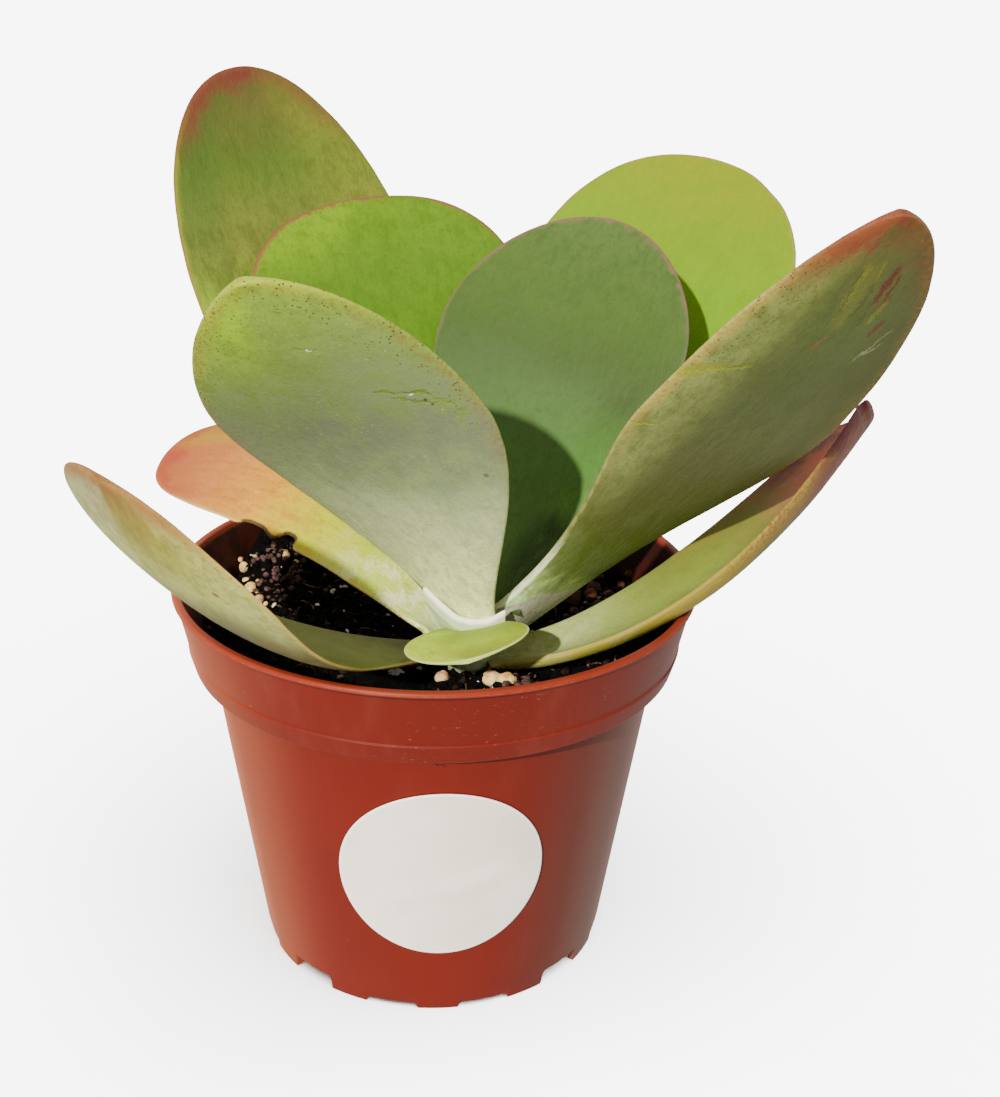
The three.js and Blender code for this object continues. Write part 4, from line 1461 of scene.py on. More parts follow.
def crowded(part):
    """Even parts of the length moved closer together towards the tip."""
    return 1 - (1 - part) ** STATION_CROWDING


def rounded_square(wave):
    """A sine or cosine pressed outwards, so that a ring has flat faces and round edges."""
    return (np.sign(wave) * np.abs(wave) ** (2 / EDGE_ROUNDNESS))[None]


def blade_rings(leaf, settings, seed):
    """The blade's rings, with each point's flat place and the face that it is on."""
    places, centre, across, up = middle_line(leaf)
    s = crowded(np.arange(settings.stations + 1) / settings.stations)
    s = np.minimum(s, LAST_STATION)
    s = np.concatenate([np.linspace(places[0], 0, TAIL_RINGS + 1)[:-1], s])
    at, across, up = (sampled(places, table, s) for table in (centre, across, up))
    s = np.maximum(s, 0)
    at = at + across * (leaf["bow"] * 4 * s * (1 - s))[:, None]
    clasp = (leaf["clasp"] - leaf["cup"]) * np.exp(-s / CLASP_LENGTH)
    cup = np.radians(leaf["cup"] + clasp)[:, None]
    mean = half_width(leaf, s)[:, None]
    full = lerp(settings.thickness, settings.tip_thickness, s)[:, None]
    thick = np.minimum(leaf["fleshy"] * full / MM / 2, THIN_EDGE + mean * THIN_PART)
    angle = np.arange(settings.section) / settings.section * 2 * math.pi
    v, w = rounded_square(np.cos(angle)), rounded_square(np.sin(angle))
    left, right = (side_width(leaf, s, side, seed)[:, None] for side in (-1, 1))
    wide = np.where(v < 0, left, right)
    flat_x, flat_y = v * wide, (s * leaf["length"])[:, None] + 0 * v
    height, size = BROAD_WAVES
    waves = fractal(flat_spots(flat_x, flat_y, size, seed), 2, seed)
    waves = height * waves * smoothstep(0.1, 0.4, s)[:, None]
    height, size = FINE_SKIN
    skin = height * fractal(flat_spots(flat_x, flat_y, size, w * 2 + seed), 3, seed + 40)
    lift = w * thick + waves + skin * np.sign(w)
    sideways = wide * np.sin(v * cup) / cup - lift * np.sin(v * cup)
    raised = mean * (1 - np.cos(v * cup)) / cup + lift * np.cos(v * cup)
    rings = at[:, None] + across[:, None] * sideways[..., None] + up[:, None] * raised[..., None]
    return rings, flat_x, flat_y, 0 * flat_x + w


def from_outline(leaf, x, y, seed):
    """How far each flat place lies inside the blade's outline."""
    s = crowded(np.linspace(0, 1, OUTLINE_STEPS))
    right = np.stack([side_width(leaf, s, 1, seed), s * leaf["length"]], -1)
    left = np.stack([-side_width(leaf, s, -1, seed), s * leaf["length"]], -1)
    outline = np.vstack([right, left[::-1]])
    outline = outline[outline[:, 1] > 0.5]
    place = np.stack([x.ravel(), y.ravel()], -1)
    nearest = np.full(len(place), 1e9)
    for start in range(0, len(outline), OUTLINE_CHUNK):
        gap = place[:, None] - outline[None, start:start + OUTLINE_CHUNK]
        nearest = np.minimum(nearest, np.sqrt((gap**2).sum(-1)).min(1))
    return nearest.reshape(x.shape)


# Colours and marks of each leaf, with widths, radii and places in millimetres.
# stops: part of the length and colour, from base to tip, of the face that "seen" names, 1 for
#   the upper one and -1 for the lower; other or other_stops: the same for the other face.
# deep: colour and strength of the dark mottling. bloom: colour, strength and how far up.
# left, right, tip: a band by the outline, with its colour, width and strength, and the parts
#   of the length between which it comes in. tip_side: on which side the tip's band is whole,
#   and how strong it is on the other. line: colour, width and strength of the outermost line.
# hem: side, width, colour, strength and reach of a thin rim near the base. edge: colour and
#   strength of the right edge where it is seen from its side.
# zones: colour, strength, then where it comes in across the blade, from -1 to 1, and along it;
#   a pair that falls makes it go out. Some zones and bands are painted light or shade, as noted
#   at each leaf.
# rust: colour, width and strength of blotches by the outline. freckles: strength, width and
#   colour of dots by the outline. scales: strength of pale flakes near the base.
# bites: side, width, colour, and the places along it where a chewed stretch starts and ends.
# fibres: pale and dark colour of a patch by the base, painted sunlight with fibre-like streaks,
#   and the lines that bound it, each with its lean and reach.
# scratches: two places, width, colour and strength. spots: place, radius, colour and strength.
LOOKS = {
    "leaf_back_left_tall": {
        "stops": ((0, (128, 135, 51)), (0.55, (119, 149, 30)), (0.68, (105, 110, 42)),
            (0.82, (77, 98, 30)), (1, (92, 74, 41))),
        "deep": ((70, 81, 28), 0.55),
        "other": (90, 108, 58),
        "left": ((126, 126, 30), 1.4, 0.6, 0.1, 0.5),
        "right": ((108, 96, 40), 1, 0.6, 0.4, 0.7),
        "tip": ((104, 42, 36), 6.5, 0.85, 0.8, 0.95),
        "tip_side": (-1, 0.55),
        "line": ((104, 60, 40), 0.35, 0.6),
        "bloom": ((122, 143, 52), 0.18, 0.5),
        # The first zone is painted shade inside the curled left margin.
        "zones": (((60, 90, 34), 0.5, (-0.45, -0.8), (0.55, 0.75)),
            ((119, 124, 35), 0.45, (0.1, 0.7), (0.5, 0.6)),
            ((108, 61, 31), 0.2, (-0.8, -0.98), (0.74, 0.92))),
    },
    "leaf_back_left_broad": {
        "stops": ((0, (91, 122, 19)), (0.6, (72, 106, 8)), (0.8, (78, 108, 20)),
            (1, (87, 117, 10))),
        "deep": ((57, 89, 8), 0.5),
        "other": (80, 100, 50),
        "left": ((110, 84, 50), 0.9, 0.75, 0.5, 0.75),
        "right": ((110, 90, 50), 0.8, 0.6, 0.5, 0.8),
        "tip": ((112, 66, 44), 1.1, 0.85, 0.75, 0.9),
        "line": ((118, 66, 50), 0.4, 0.7),
        "bloom": ((99, 124, 40), 0.09, 0.3),
        "zones": (((113, 143, 5), 0.5, (-0.3, -0.7), (0.75, 0.9)),),
        "freckles": (0.6, 3, (50, 66, 24)),
    },
    "leaf_front_left": {
        "seen": -1,
        "stops": ((0, (229, 235, 161)), (0.12, (209, 217, 148)), (0.25, (177, 182, 136)),
            (0.4, (121, 132, 95)), (0.55, (106, 110, 83)), (0.72, (115, 135, 70)),
            (0.86, (137, 168, 33)), (1, (170, 211, 12))),
        "deep": ((98, 117, 49), 0.5),
        "other": (96, 116, 62),
        "left": ((104, 128, 36), 2.4, 0.5, 0.5, 0.8),
        "right": ((134, 150, 40), 5, 0.75, 0.62, 0.8),
        "tip": ((146, 156, 40), 2, 0.7, 0.8, 0.95),
        "line": ((128, 142, 52), 0.3, 0.4),
        "bloom": ((212, 218, 166), 0.3, 0.7),
        "zones": (((93, 96, 79), 0.45, (0.5, 0.1), (0.35, 0.5)),
            ((141, 164, 57), 0.5, (0.55, 0.9), (0.66, 0.8))),
        "freckles": (0.9, 9, (58, 46, 18)),
        "rust": ((120, 82, 32), 3.2, 0.6),
        "scratches": ((-1.2, 70.6, -5.4, 69.4, 0.32, (104, 132, 44), 0.8),
            (-9.8, 58.6, -14.5, 57.2, 0.36, (96, 116, 30), 0.9),
            (-14.5, 57.4, -19.6, 56, 0.42, (92, 114, 26), 0.95),
            (-12, 56.6, -20.6, 53.6, 0.3, (92, 112, 30), 0.85),
            (-19, 55, -22.3, 53.2, 0.55, (104, 126, 28), 0.8),
            (-3.4, 69.9, -4.4, 69.7, 0.3, (214, 222, 196), 0.9),
            (-15.4, 56.9, -16.4, 56.6, 0.26, (206, 214, 180), 0.8)),
        "spots": ((-21.2, 37.3, 0.45, (84, 92, 40), 0.85), (-17.8, 55, 0.35, (56, 70, 20), 0.9),
            (-18.6, 53.9, 0.3, (56, 70, 20), 0.9), (-22.4, 51, 1.1, (96, 120, 40), 0.55),
            (20.5, 62, 2.4, (92, 116, 34), 0.45)),
    },
    "leaf_centre": {
        "stops": ((0, (84, 114, 43)), (0.3, (56, 96, 22)), (0.5, (53, 66, 29)),
            (0.75, (62, 82, 28)), (1, (71, 88, 42))),
        "deep": ((45, 68, 22), 0.5),
        "other": (80, 96, 54),
        "left": ((96, 84, 60), 1, 0.7, 0.35, 0.6),
        "right": ((96, 84, 60), 0.8, 0.25, 0.4, 0.7),
        "tip": ((106, 76, 64), 1.1, 0.8, 0.7, 0.88),
        "line": ((112, 90, 78), 0.3, 0.3),
        "bloom": ((87, 110, 62), 0.27, 1),
        "zones": (((69, 94, 48), 0.5, (0.75, 0.35), (0.62, 0.45)),
            ((57, 74, 38), 0.4, (-0.1, -0.5), (0.66, 0.5)),
            # The last zone is painted shade at the base's right side.
            ((32, 50, 14), 0.92, (0.25, 0.65), (0.2, 0.1))),
    },
    "leaf_right_long": {
        "seen": -1,
        "stops": ((0, (180, 206, 148)), (0.13, (130, 151, 80)), (0.17, (71, 89, 20)),
            (0.3, (69, 75, 26)), (0.45, (77, 78, 43)), (0.62, (83, 91, 48)), (0.8, (89, 104, 49)),
            (1, (113, 97, 40))),
        "deep": ((65, 74, 28), 0.5),
        "other": (104, 112, 54),
        # The olive band at the left is painted shade along the lower margin near the base.
        "left": ((82, 82, 20), 3, 0.55, 0.14, 0.3),
        "right": ((148, 140, 60), 2.2, 0.7, 0.42, 0.6),
        "tip": ((110, 36, 28), 6.5, 0.85, 0.8, 0.93),
        "tip_side": (1, 0.35),
        "hem": (1, 0.8, (214, 222, 180), 0.75, 0.26),
        "line": ((150, 134, 84), 0.3, 0.5),
        "bloom": ((133, 139, 97), 0.24, 0.5),
        # Zones: the first two are painted light on the blade's upper half; the third and the last
        # are painted shade on its lower band and along its middle; the fourth, an olive-yellow band
        # by the lower edge, is partly its colour and partly painted shade.
        "zones": (((120, 128, 70), 0.85, (0.1, 0.75), (0.28, 0.46)),
            ((114, 123, 59), 0.5, (-0.2, 0.3), (0.5, 0.8)),
            ((67, 63, 21), 0.6, (-0.55, -0.95), (0.25, 0.4)),
            ((100, 96, 24), 0.5, (-0.8, -0.98), (0.3, 0.6)),
            ((64, 69, 31), 0.55, (0.5, 0.15), (0.5, 0.66))),
        "freckles": (0.9, 9, (66, 62, 26)),
        "rust": ((140, 90, 44), 3.2, 0.5),
        "scratches": ((-6.9, 98.5, -8.1, 89.6, 1, (92, 30, 24), 0.95),
            (-9.6, 93.2, -10, 88.6, 0.6, (98, 44, 28), 0.85),
            (-10.6, 92, -10.8, 88.4, 0.3, (96, 60, 34), 0.7),
            (-13.4, 87, -13.4, 82.6, 0.85, (96, 46, 30), 0.9),
            (-4.6, 82.6, -3.6, 79.2, 0.6, (122, 72, 46), 0.7),
            (0.3, 99.9, -3.4, 84.2, 0.7, (96, 96, 24), 0.75),
            (-1, 98, -2.4, 88.5, 1.1, (112, 114, 30), 0.6),
            (-2.9, 99.5, -5.1, 93.7, 0.8, (108, 108, 30), 0.7),
            (-10.2, 91, -10.4, 85.6, 0.9, (108, 108, 34), 0.7),
            (-17.3, 84.9, -15.1, 77, 0.28, (148, 150, 118), 0.65),
            (-18.3, 81.7, -15.7, 78.6, 0.24, (148, 150, 118), 0.65),
            (14.4, 70, 4.2, 74.1, 0.45, (110, 118, 24), 0.9),
            (16.3, 68.9, 9.6, 71.9, 0.6, (126, 128, 34), 0.8),
            (19.2, 64.9, 12.3, 71, 0.6, (132, 134, 34), 0.7),
            (17.2, 53.9, 11.5, 57.3, 0.4, (132, 136, 40), 0.8),
            (-1.8, 98.5, -5.2, 83.5, 1.6, (104, 106, 34), 0.45),
            (-4.2, 98, -6.6, 86, 0.5, (70, 74, 28), 0.7),
            (-0.2, 96.5, -3.2, 86.5, 0.4, (66, 70, 26), 0.7),
            (-7.6, 92, -8.8, 84.5, 0.5, (72, 72, 30), 0.6),
            (-8.6, 96.6, -9.6, 92.2, 0.45, (88, 32, 26), 0.8),
            (5.5, 92.5, 2.6, 88, 0.5, (96, 84, 34), 0.5),
            (15.8, 69.8, 8.4, 72.9, 1.2, (118, 122, 34), 0.55),
            (17.8, 66.5, 11, 70.8, 1.4, (124, 128, 36), 0.55)),
        # The pale patch by the base is painted sunlight, with fibre-like streaks.
        "fibres": ((150, 146, 126), (92, 92, 72), ((0.44, 10.9), (2.6, 14.2))),
    },
    "leaf_back_right": {
        "stops": ((0, (91, 120, 1)), (0.6, (92, 139, 1)), (0.85, (101, 124, 1)),
            (1, (114, 116, 1))),
        "deep": ((87, 117, 1), 0.5),
        "other": (84, 100, 40),
        "left": ((122, 104, 52), 0.8, 0.7, 0.5, 0.75),
        "right": ((120, 124, 50), 0.8, 0.6, 0.5, 0.75),
        "tip": ((122, 112, 40), 0.8, 0.6, 0.8, 0.95),
        "line": ((128, 104, 60), 0.35, 0.6),
        "bloom": ((119, 133, 7), 0.09, 0.4),
    },
    "leaf_left_low": {
        "stops": ((0, (196, 215, 123)), (0.12, (177, 199, 88)), (0.3, (165, 187, 35)),
            (0.45, (178, 183, 20)), (0.62, (205, 145, 41)), (0.8, (183, 114, 59)),
            (0.93, (163, 89, 56)), (1, (152, 72, 46))),
        "deep": ((159, 96, 37), 0.35),
        "other": (128, 104, 60),
        "left": ((170, 146, 60), 1.6, 0.35, 0.02, 0.2),
        "right": ((196, 128, 70), 1.4, 0.5, 0.3, 0.6),
        "tip": ((150, 62, 44), 5, 0.8, 0.74, 0.95),
        "line": ((200, 168, 110), 0.35, 0.5),
        "bloom": ((206, 215, 100), 0.42, 0.5),
        "zones": (((153, 79, 46), 0.55, (0.1, 0.8), (0.55, 0.8)),
            ((147, 169, 29), 0.5, (0.2, 0.8), (0.1, 0.3))),
        "scales": 0.9,
        "bites": (-1, 0.8, (44, 24, 14), (29.5, 30.5), (41.5, 42.5)),
        "spots": ((-13, 33.5, 0.7, (150, 108, 52), 0.6), (-14, 38.6, 0.7, (120, 74, 30), 0.8),
            (-6, 44, 0.7, (206, 140, 80), 0.7)),
    },
    "leaf_left_lowest": {
        "seen": -1,
        "stops": ((0, (160, 156, 92)), (0.3, (112, 108, 50)), (0.45, (82, 78, 42)),
            (0.56, (68, 60, 36)), (0.64, (100, 98, 52)), (0.74, (160, 162, 84)),
            (0.88, (142, 140, 52)), (1, (118, 82, 34))),
        "deep": ((100, 98, 34), 0.5),
        "other": (104, 118, 50),
        "left": ((170, 152, 64), 1.2, 0.75, 0.3, 0.6),
        "right": ((150, 122, 44), 2.4, 0.7, 0.3, 0.6),
        "tip": ((122, 74, 36), 3, 0.8, 0.85, 0.97),
        "line": ((176, 146, 86), 0.4, 0.6),
        "bloom": ((150, 152, 112), 0.18, 0.7),
        "zones": (((83, 88, 39), 0.5, (0.3, 0.9), (0.35, 0.5)),
            ((176, 178, 106), 0.5, (-0.5, -0.9), (0.55, 0.7)),
            ((190, 192, 150), 0.35, (0, 0.35), (0.6, 0.68))),
        "freckles": (0.6, 4, (96, 70, 34)),
        "spots": ((-14.4, 72.8, 0.6, (112, 66, 46), 0.8), (-15.6, 70.8, 0.4, (150, 96, 60), 0.6)),
    },
    "leaf_right_lowest": {
        "seen": -1,
        "stops": ((0, (170, 172, 84)), (0.15, (138, 136, 34)), (0.35, (142, 126, 34)),
            (0.5, (134, 116, 46)), (0.62, (124, 92, 60)), (0.75, (116, 66, 56)),
            (0.88, (72, 28, 38)), (1, (58, 22, 34))),
        "deep": ((96, 100, 34), 0.4),
        "other": (126, 56, 44),
        "other_stops": ((0, (150, 158, 90)), (0.25, (122, 136, 60)), (0.45, (112, 126, 40)),
            (0.6, (108, 104, 40)), (0.7, (146, 84, 58)), (0.82, (184, 66, 60)), (1, (150, 48, 50))),
        # The broad dark band at the left is painted shadow of the long right leaf above it.
        "left": ((84, 88, 34), 9, 0.6, 0.2, 0.4),
        "right": ((118, 104, 38), 1.2, 0.5, 0.1, 0.3),
        "tip": ((84, 24, 36), 6, 0.95, 0.62, 0.8),
        "edge": ((140, 124, 50), 0.6),
        "line": ((132, 74, 52), 0.55, 0.85),
        "bloom": ((196, 200, 156), 0.5, 0.35),
        "zones": (((120, 50, 56), 0.8, (0.2, 0.6), (0.6, 0.72)),),
        "rust": ((122, 76, 34), 4, 0.9),
    },
    "leaf_front_small": {
        "stops": ((0, (132, 151, 60)), (0.3, (121, 142, 34)), (0.6, (149, 168, 28)),
            (1, (128, 131, 39))),
        "deep": ((117, 136, 23), 0.5),
        "other": (130, 142, 60),
        "left": ((172, 182, 84), 0.6, 0.7, 0, 0.3),
        "right": ((172, 182, 84), 0.6, 0.7, 0, 0.3),
        "tip": ((176, 184, 96), 0.5, 0.7, 0.3, 0.6),
        "line": ((196, 200, 130), 0.35, 0.7),
        "bloom": ((144, 159, 89), 0.27, 0.35),
        "zones": (((188, 210, 57), 0.6, (0.2, 0.7), (0.1, 0.2)),),
    },
}
SCRATCH_WANDER = 2.4
SPOT_WANDER = 2.4
SUNLIT_PATCH_SOFTNESS = (-0.2, 0.25)
SCALE_COLOUR = (212, 216, 168)
TRANSLUCENCE = {
    "Subsurface Weight": 0.08, "Subsurface Radius": (0.6, 1.0, 0.25), "Subsurface Scale": 0.0010,
}


class LeafFinish(Finish):
    """Fleshy skin: a colour that changes from base to tip, streaks, bloom, margins and marks."""

    def __init__(self, name, look, length):
        super().__init__(name + "_skin", 0.12, **TRANSLUCENCE)
        self.look = look
        self.x, self.y, self.edge = self.attribute("flat")
        self.seen = self.number("upper") * look.get("seen", 1)
        self.across = self.x / (abs(self.x) + self.edge + 0.4)
        self.part = self.y / length
        self.streak = self.flat_noise(0.8, 4, 0.6, self.seen * 7, 0.3)
        self.broad = self.noise(45, 4, 0.55)
        self.mid = self.noise(190, 5, 0.62)
        self.fine = self.noise(1500, 3, 0.6)
        self.grain = self.noise(620, 4, 0.65)
        self.wander = (self.broad - 0.5) * 0.16 + (self.streak - 0.5) * 0.10
        self.place_along = self.part + self.wander
        self.marks = None

    def flat_noise(self, per_millimetre, detail, roughness, layer, stretch=1):
        """Noise laid flat on the blade, on a layer of its own."""
        place = self.combine(self.x, self.y * stretch, layer)
        return self.noise(per_millimetre, detail, roughness, place=place)

    def side(self, side, low, high):
        """The blade's right side, 1, or its left, -1, with a soft change at the middle line."""
        return self.smooth(self.x * side, low, high)

    def came_in(self, value, low, high):
        """0 before low and 1 after high, or the reverse for a pair that falls."""
        return self.smooth(value, low, high) if low < high else self.fade(value, high, low)

    def paint_ground(self):
        """The colours of both faces from base to tip, with their zones and mottling."""
        look = self.look
        self.tone = self.ramp(self.place_along, look["stops"])
        for colour, strength, sideways, lengthways in look.get("zones", ()):
            mask = self.came_in(self.across + self.wander * 2, *sideways)
            self.paint(mask * self.came_in(self.place_along, *lengthways) * strength, colour)
        hidden = self.fade(self.seen, -0.25, 0.25)
        if "other_stops" in look:
            other = self.ramp(self.place_along, look["other_stops"])
            self.tone = self.mix(hidden, self.tone, other)
        else:
            self.paint(hidden * 0.6, look["other"])
        deep, amount = look["deep"]
        mottle = self.streak * 0.28 + self.mid * 0.47 + self.broad * 0.25
        self.paint(self.smooth(mottle, 0.44, 0.62) * amount, deep)
        self.paint(self.smooth(self.fine, 0.5, 0.66) * 0.26, deep)
        self.paint(self.smooth(self.grain, 0.5, 0.64) * 0.3, deep)

    def paint_bloom(self):
        """The whitish powder that thins out from the base, and the mask of where it lies."""
        colour, amount, reach = self.look["bloom"]
        cloud = self.mid * 0.5 + self.fine * 0.2 + self.streak * 0.3
        powder = self.fade(self.part, 0.05, reach) * self.smooth(cloud, 0.42, 0.62)
        self.paint(powder * amount, colour)
        return powder

    def paint_margins(self):
        """The bands at both sides, the thin line at the outline, and rusty blotches by it."""
        look = self.look
        for side, key in ((1, "right"), (-1, "left")):
            colour, width, strength, start, end = look[key]
            ragged = self.edge + (self.mid - 0.5) * width * 1.2
            band = self.fade(ragged, width * 0.2, width) * self.side(side, -1.0, 1.0)
            self.paint(band * self.smooth(self.part, start, end) * strength, colour)
        if "hem" in look:
            side, width, colour, strength, reach = look["hem"]
            hem = self.fade(self.edge, width * 0.55, width) * self.side(side, 0.0, 1.0)
            self.paint(hem * self.fade(self.place_along, reach * 0.6, reach) * strength, colour)
        colour, width, strength = look["line"]
        line = self.fade(self.edge + (self.fine - 0.5) * 0.25, width * 0.4, width * 1.3)
        if "edge" in look:
            thick_colour, thick_strength = look["edge"]
            thick = self.fade(abs(self.seen), 0.5, 0.95) * self.side(1, 0.0, 1.0)
            self.paint(thick * thick_strength, thick_colour)
            line = line * self.fade(self.seen, -0.9, -0.6)
        self.paint(line * strength, colour)
        if "rust" in look:
            colour, width, strength = look["rust"]
            blotch = self.smooth(self.flat_noise(1.4, 5, 0.72, 3.0), 0.47, 0.58)
            near = self.near_outline(width, 0.3, 0.3, 0.6)
            self.paint(blotch * near * strength, colour)

    def near_outline(self, width, inner, start, end):
        """A strip along the outline that comes in between two parts of the length."""
        return self.fade(self.edge, width * inner, width) * self.smooth(self.part, start, end)

    def paint_tip(self):
        """The coloured band round the tip, with a ragged inner side."""
        look = self.look
        colour, width, strength, start, end = look["tip"]
        ragged = (self.mid - 0.5) * 1.3 + (self.streak - 0.5) * 0.8
        ragged = self.edge + ragged * width + (self.grain - 0.5) * 3
        tip = self.fade(ragged, width * 0.1, width) * self.smooth(self.part, start, end)
        if "tip_side" in look:
            side, rest = look["tip_side"]
            tip = tip * (rest + (1 - rest) * self.side(side, -6.0, 1.0))
        self.paint(tip * strength, colour)

    def paint_specks(self):
        """Pale dots all over, and the freckles, flakes, painted sunlit patch and bites that a leaf
        has.
        """
        look = self.look
        sparse = self.smooth(self.noise(80), 0.5, 0.66)
        self.paint(self.dots(700, 0.10, 0.17) * sparse * 0.14, look["bloom"][0])
        if "freckles" in look:
            strength, width, colour = look["freckles"]
            points = self.dots(1250, 0.14, 0.26) * self.smooth(self.mid, 0.40, 0.50)
            self.paint(points * self.near_outline(width, 0.4, 0.4, 0.7) * strength, colour)
        if "scales" in look:
            flakes = self.dots(430, 0.22, 0.34) * self.smooth(self.mid, 0.5, 0.6)
            powdery = self.mid * 0.45 + self.fine * 0.25 + self.broad * 0.3
            flakes = flakes.greatest(self.smooth(powdery, 0.49, 0.56) * 0.8)
            near_base = self.fade(self.part, 0.1, 0.45) * look["scales"]
            self.paint(flakes * near_base, SCALE_COLOUR)
        if "fibres" in look:
            self.paint_sunlit_fibres(*look["fibres"])
        if "bites" in look:
            side, width, colour, first, last = look["bites"]
            near = self.fade(self.edge + (self.fine - 0.5) * 0.5, width * 0.4, width)
            near = near * self.side(side, 2.0, 4.0)
            near = near * self.smooth(self.y, *first) * self.fade(self.y, *last)
            self.paint(near * 0.9, colour)

    def paint_sunlit_fibres(self, pale, dark, borders):
        """A pale patch near the base, painted sunlight with fibre-like streaks: the stretch before
        all its borders.
        """
        thread = self.flat_noise(2.6, 3, 0.6, 0.0, 0.12)
        outside = None
        for lean, reach in borders:
            past = self.y + self.x * lean - reach
            outside = past if outside is None else outside.greatest(past)
        outside = outside + (self.streak - 0.5) * 1.6
        patch = self.fade(outside, *SUNLIT_PATCH_SOFTNESS)
        self.paint(patch * 0.85, pale)
        self.paint(patch * self.smooth(thread, 0.5, 0.62) * 0.5, dark)
        self.paint(patch * self.smooth(self.fine, 0.52, 0.64) * 0.35, dark)

    def paint_mark(self, mask, colour):
        self.paint(mask, colour)
        self.marks = mask if self.marks is None else self.marks.greatest(mask)

    def paint_marks(self):
        """Scratches and spots, one by one."""
        slow = self.flat_noise(0.5, 3, 0.6, 11.0)
        broken = self.smooth(self.flat_noise(2.2, 3, 0.7, 5.0), 0.34, 0.5)
        for scratch in self.look.get("scratches", ()):
            self.paint_mark(self.scratch_mask(slow, broken, scratch), scratch[5])
        for spot in self.look.get("spots", ()):
            self.paint_mark(self.spot_mask(spot), spot[3])

    def scratch_mask(self, slow, broken, scratch):
        """A thin broken line between two places, that wanders a little."""
        x0, y0, x1, y1, width, _, strength = scratch
        length = math.hypot(x1 - x0, y1 - y0)
        cos, sin = (x1 - x0) / length, (y1 - y0) / length
        dx, dy = self.x - (x0 + x1) / 2, self.y - (y0 + y1) / 2
        along = dx * cos + dy * sin
        aside = abs(dy * cos - dx * sin + (slow - 0.5) * SCRATCH_WANDER)
        ends = self.fade(abs(along), length * 0.35, length * 0.55)
        return self.fade(aside, width * 0.25, width) * ends * broken * strength

    def spot_mask(self, spot):
        """A small round mark with an uneven edge."""
        x, y, radius, _, strength = spot
        dx, dy = (self.x - x) / radius, (self.y - y) / radius
        off = dx * dx + dy * dy + (self.mid - 0.5) * SPOT_WANDER
        return self.fade(off, 0.4, 1.3) * strength

    def painted(self):
        """The material, with everything laid over one another in order."""
        self.paint_ground()
        powder = self.paint_bloom()
        self.paint_margins()
        self.paint_tip()
        self.paint_specks()
        self.paint_marks()
        bumps = [(self.fine, 0.05), (self.grain, 0.06), (self.mid, 0.14), (self.streak, 0.14)]
        if self.marks:
            bumps.append((1 - self.marks, 0.10))
        return self.done(0.46 + 0.14 * self.mid + 0.16 * powder, *bumps)


class PLANT_OT_leaves(bpy.types.Operator):
    """Grow all the leaves"""

    bl_idname = "paddle_plant.leaves"
    bl_label = "Leaves"

    def execute(self, context):
        settings = context.scene.paddle_leaves
        for number, leaf in enumerate(LEAVES):
            first, step = LEAF_SEEDS
            seed = first + step * number
            rings, x, y, upper = blade_rings(leaf, settings, seed)
            edge = from_outline(leaf, x, y, seed)
            flat = np.stack([x, y, edge], -1)
            marks = {"flat": loft_points(flat), "upper": loft_points(upper[..., None])[:, 0]}
            name = leaf["name"]
            faces = loft_faces(len(rings), rings.shape[1])
            blade = mesh_object(name + "_blade", in_place(loft_points(rings)), faces, marks)
            finish = LeafFinish(name, LOOKS[name], leaf["length"])
            blade.data.materials.append(finish.painted())
            finished(blade, name, name)
        return {"FINISHED"}


# Stage

CAMERA_PLACE = (0, -283.895, 201.387)
CAMERA_PITCH = 22.963
CAMERA_YAW = 2.471
CAMERA_ROLL = 1.2965
SENSOR_WIDTH = 36
VIEW_RANGE = (0.01, 50)
FLOOR_HALF = 6
FLOOR_DROP = 0.00002
LAMP_REACH = 2
KEY_COLOUR, KEY_SPREAD = (1.0, 0.985, 0.93), 1.5
FLOOR_LAMP = {"heading": -70, "height": 75, "spread": 70}
SKY_COLOUR = (1.0, 0.98, 0.9, 1.0)


def camera_turn():
    """The camera's turn, from how far it looks down, to the right, and how it is rolled."""
    pitch, yaw, roll = (math.radians(a) for a in (CAMERA_PITCH, CAMERA_YAW, CAMERA_ROLL))
    level = math.cos(pitch)
    ahead = Vector((math.sin(yaw) * level, math.cos(yaw) * level, -math.sin(pitch)))
    right = ahead.cross(Vector((0, 0, 1))).normalized()
    up = right.cross(ahead)
    rolled = right * math.cos(roll) + up * math.sin(roll)
    up = up * math.cos(roll) - right * math.sin(roll)
    return Matrix((rolled, up, -ahead)).transposed().to_quaternion()


def floor_finish(colour):
    """Plain pale floor."""
    g = Finish("pale_floor", 0.1)
    soft = g.noise(3, 2, 0.4)
    g.tone = g.mix(g.smooth(soft, 0.2, 0.8) * 0.04, (*colour, 1.0), (0.8, 0.8, 0.8, 1.0))
    return g.done(0.9)


def lamp_from(name, heading, height, energy, colour, spread, receivers):
    """A distant lamp that lights only the objects given."""
    lamp = bpy.data.lights.new(name, "SUN")
    lamp.energy = energy
    lamp.color = colour
    lamp.angle = math.radians(spread)
    made = placed(name, lamp)
    away = Vector((
        math.cos(heading) * math.cos(height),
        math.sin(heading) * math.cos(height),
        math.sin(height),
    ))
    made.location = away * LAMP_REACH
    made.rotation_mode = "QUATERNION"
    made.rotation_quaternion = away.to_track_quat("Z", "Y")
    lit = bpy.data.collections.new(name + "_lights")
    for each in receivers:
        lit.objects.link(each)
    made.light_linking.receiver_collection = lit


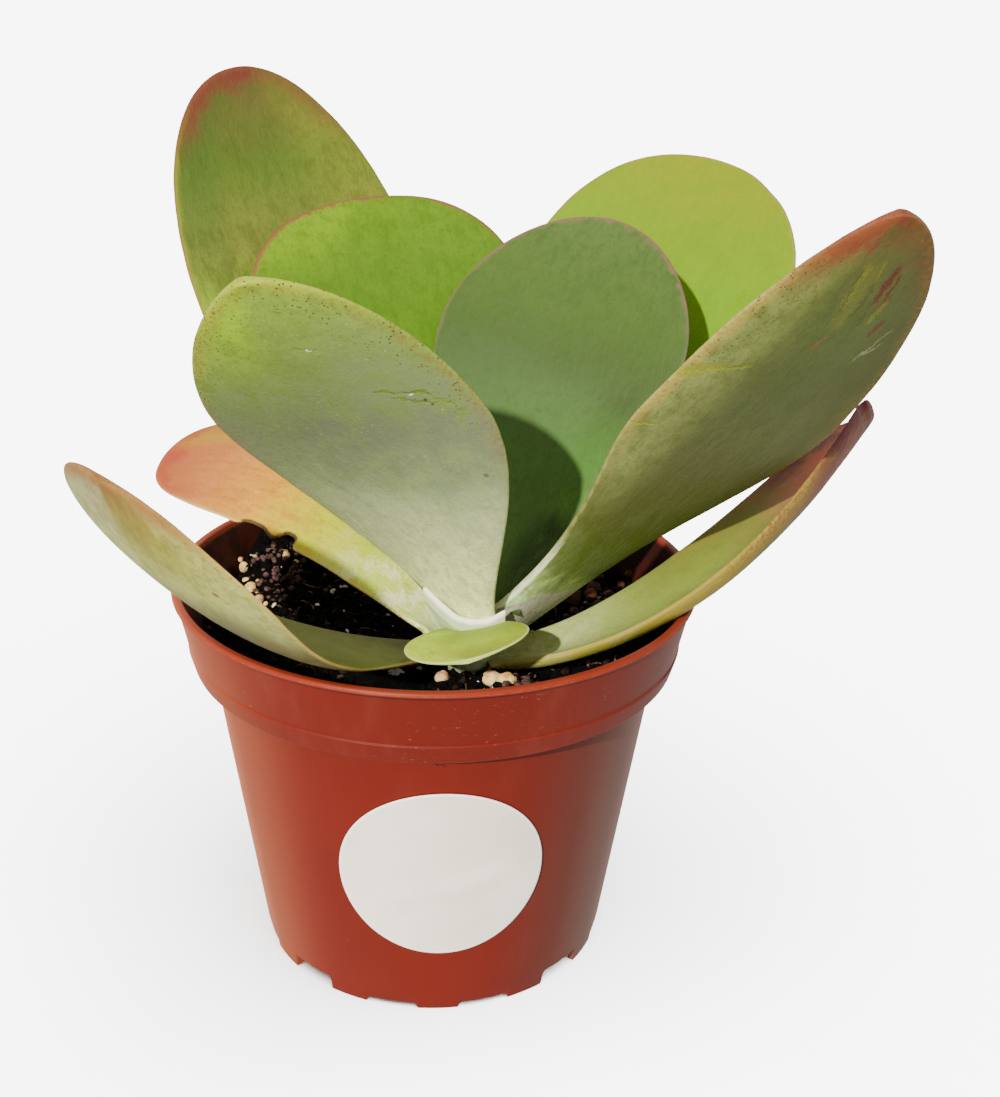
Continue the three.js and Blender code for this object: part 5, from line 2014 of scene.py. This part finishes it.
class PLANT_OT_stage(bpy.types.Operator):
    """Lay the floor, and set the light and the camera"""

    bl_idname = "paddle_plant.stage"
    bl_label = "Floor, light and camera"

    def execute(self, context):
        wanted = context.scene.paddle_stage
        plant = [each for each in context.scene.objects if each.type == "MESH"]
        corners = [(-1, -1), (1, -1), (1, 1), (-1, 1)]
        points = [(x * FLOOR_HALF, y * FLOOR_HALF, -FLOOR_DROP) for x, y in corners]
        floor = placed("floor", plain_mesh("floor", points, [], [(0, 1, 2, 3)]))
        floor.data.materials.append(floor_finish(wanted.floor))
        floor.visible_diffuse = False
        floor.visible_glossy = False

        lamp_from("key_light", wanted.key_heading, wanted.key_height, wanted.key_strength,
                  KEY_COLOUR, KEY_SPREAD, plant)
        heading, height = math.radians(FLOOR_LAMP["heading"]), math.radians(FLOOR_LAMP["height"])
        lamp_from("floor_light", heading, height, wanted.floor_strength,
                  (1.0, 1.0, 1.0), FLOOR_LAMP["spread"], [floor])

        world = bpy.data.worlds.new("studio")
        context.scene.world = world
        world.use_nodes = True
        sky = Graph(world.node_tree)
        back = sky.node("ShaderNodeBackground", None, {
            "Color": SKY_COLOUR, "Strength": wanted.sky_strength})
        out = sky.node("ShaderNodeOutputWorld")
        world.node_tree.links.new(back.outputs[0], out.inputs["Surface"])

        view = bpy.data.cameras.new("camera")
        view.sensor_width = SENSOR_WIDTH
        view.lens = wanted.lens
        view.clip_start, view.clip_end = VIEW_RANGE
        camera = placed("camera", view)
        camera.location = Vector(CAMERA_PLACE) * MM + AXIS
        camera.rotation_mode = "QUATERNION"
        camera.rotation_quaternion = camera_turn()
        context.scene.camera = camera
        return {"FINISHED"}


# Panel and running


class PLANT_PT_panel(bpy.types.Panel):
    """Lists the pieces and their settings"""

    bl_idname = "PLANT_PT_panel"
    bl_label = "Paddle plant"
    bl_space_type = "VIEW_3D"
    bl_region_type = "UI"
    bl_category = "Paddle plant"

    def draw(self, context):
        layout = self.layout
        for operator in OPERATORS:
            layout.operator(operator.bl_idname)
        for name, group in SETTINGS.items():
            box = layout.box()
            for key in group.__annotations__:
                box.prop(getattr(context.scene, name), key)


SETTINGS = {
    "paddle_pot": PotSettings,
    "paddle_soil": SoilSettings,
    "paddle_leaves": LeafSettings,
    "paddle_stage": StageSettings,
}
OPERATORS = (PLANT_OT_pot, PLANT_OT_label, PLANT_OT_soil, PLANT_OT_stones, PLANT_OT_stem,
             PLANT_OT_leaves, PLANT_OT_stage)


def register():
    for each in (*SETTINGS.values(), *OPERATORS, PLANT_PT_panel):
        bpy.utils.register_class(each)
    for name, group in SETTINGS.items():
        setattr(bpy.types.Scene, name, bpy.props.PointerProperty(type=group))


def unregister():
    for name in SETTINGS:
        delattr(bpy.types.Scene, name)
    for each in reversed((*SETTINGS.values(), *OPERATORS, PLANT_PT_panel)):
        bpy.utils.unregister_class(each)


def main():
    register()
    for operator in OPERATORS:
        group, name = operator.bl_idname.split(".")
        getattr(getattr(bpy.ops, group), name)()


if __name__ == "__main__":
    main()
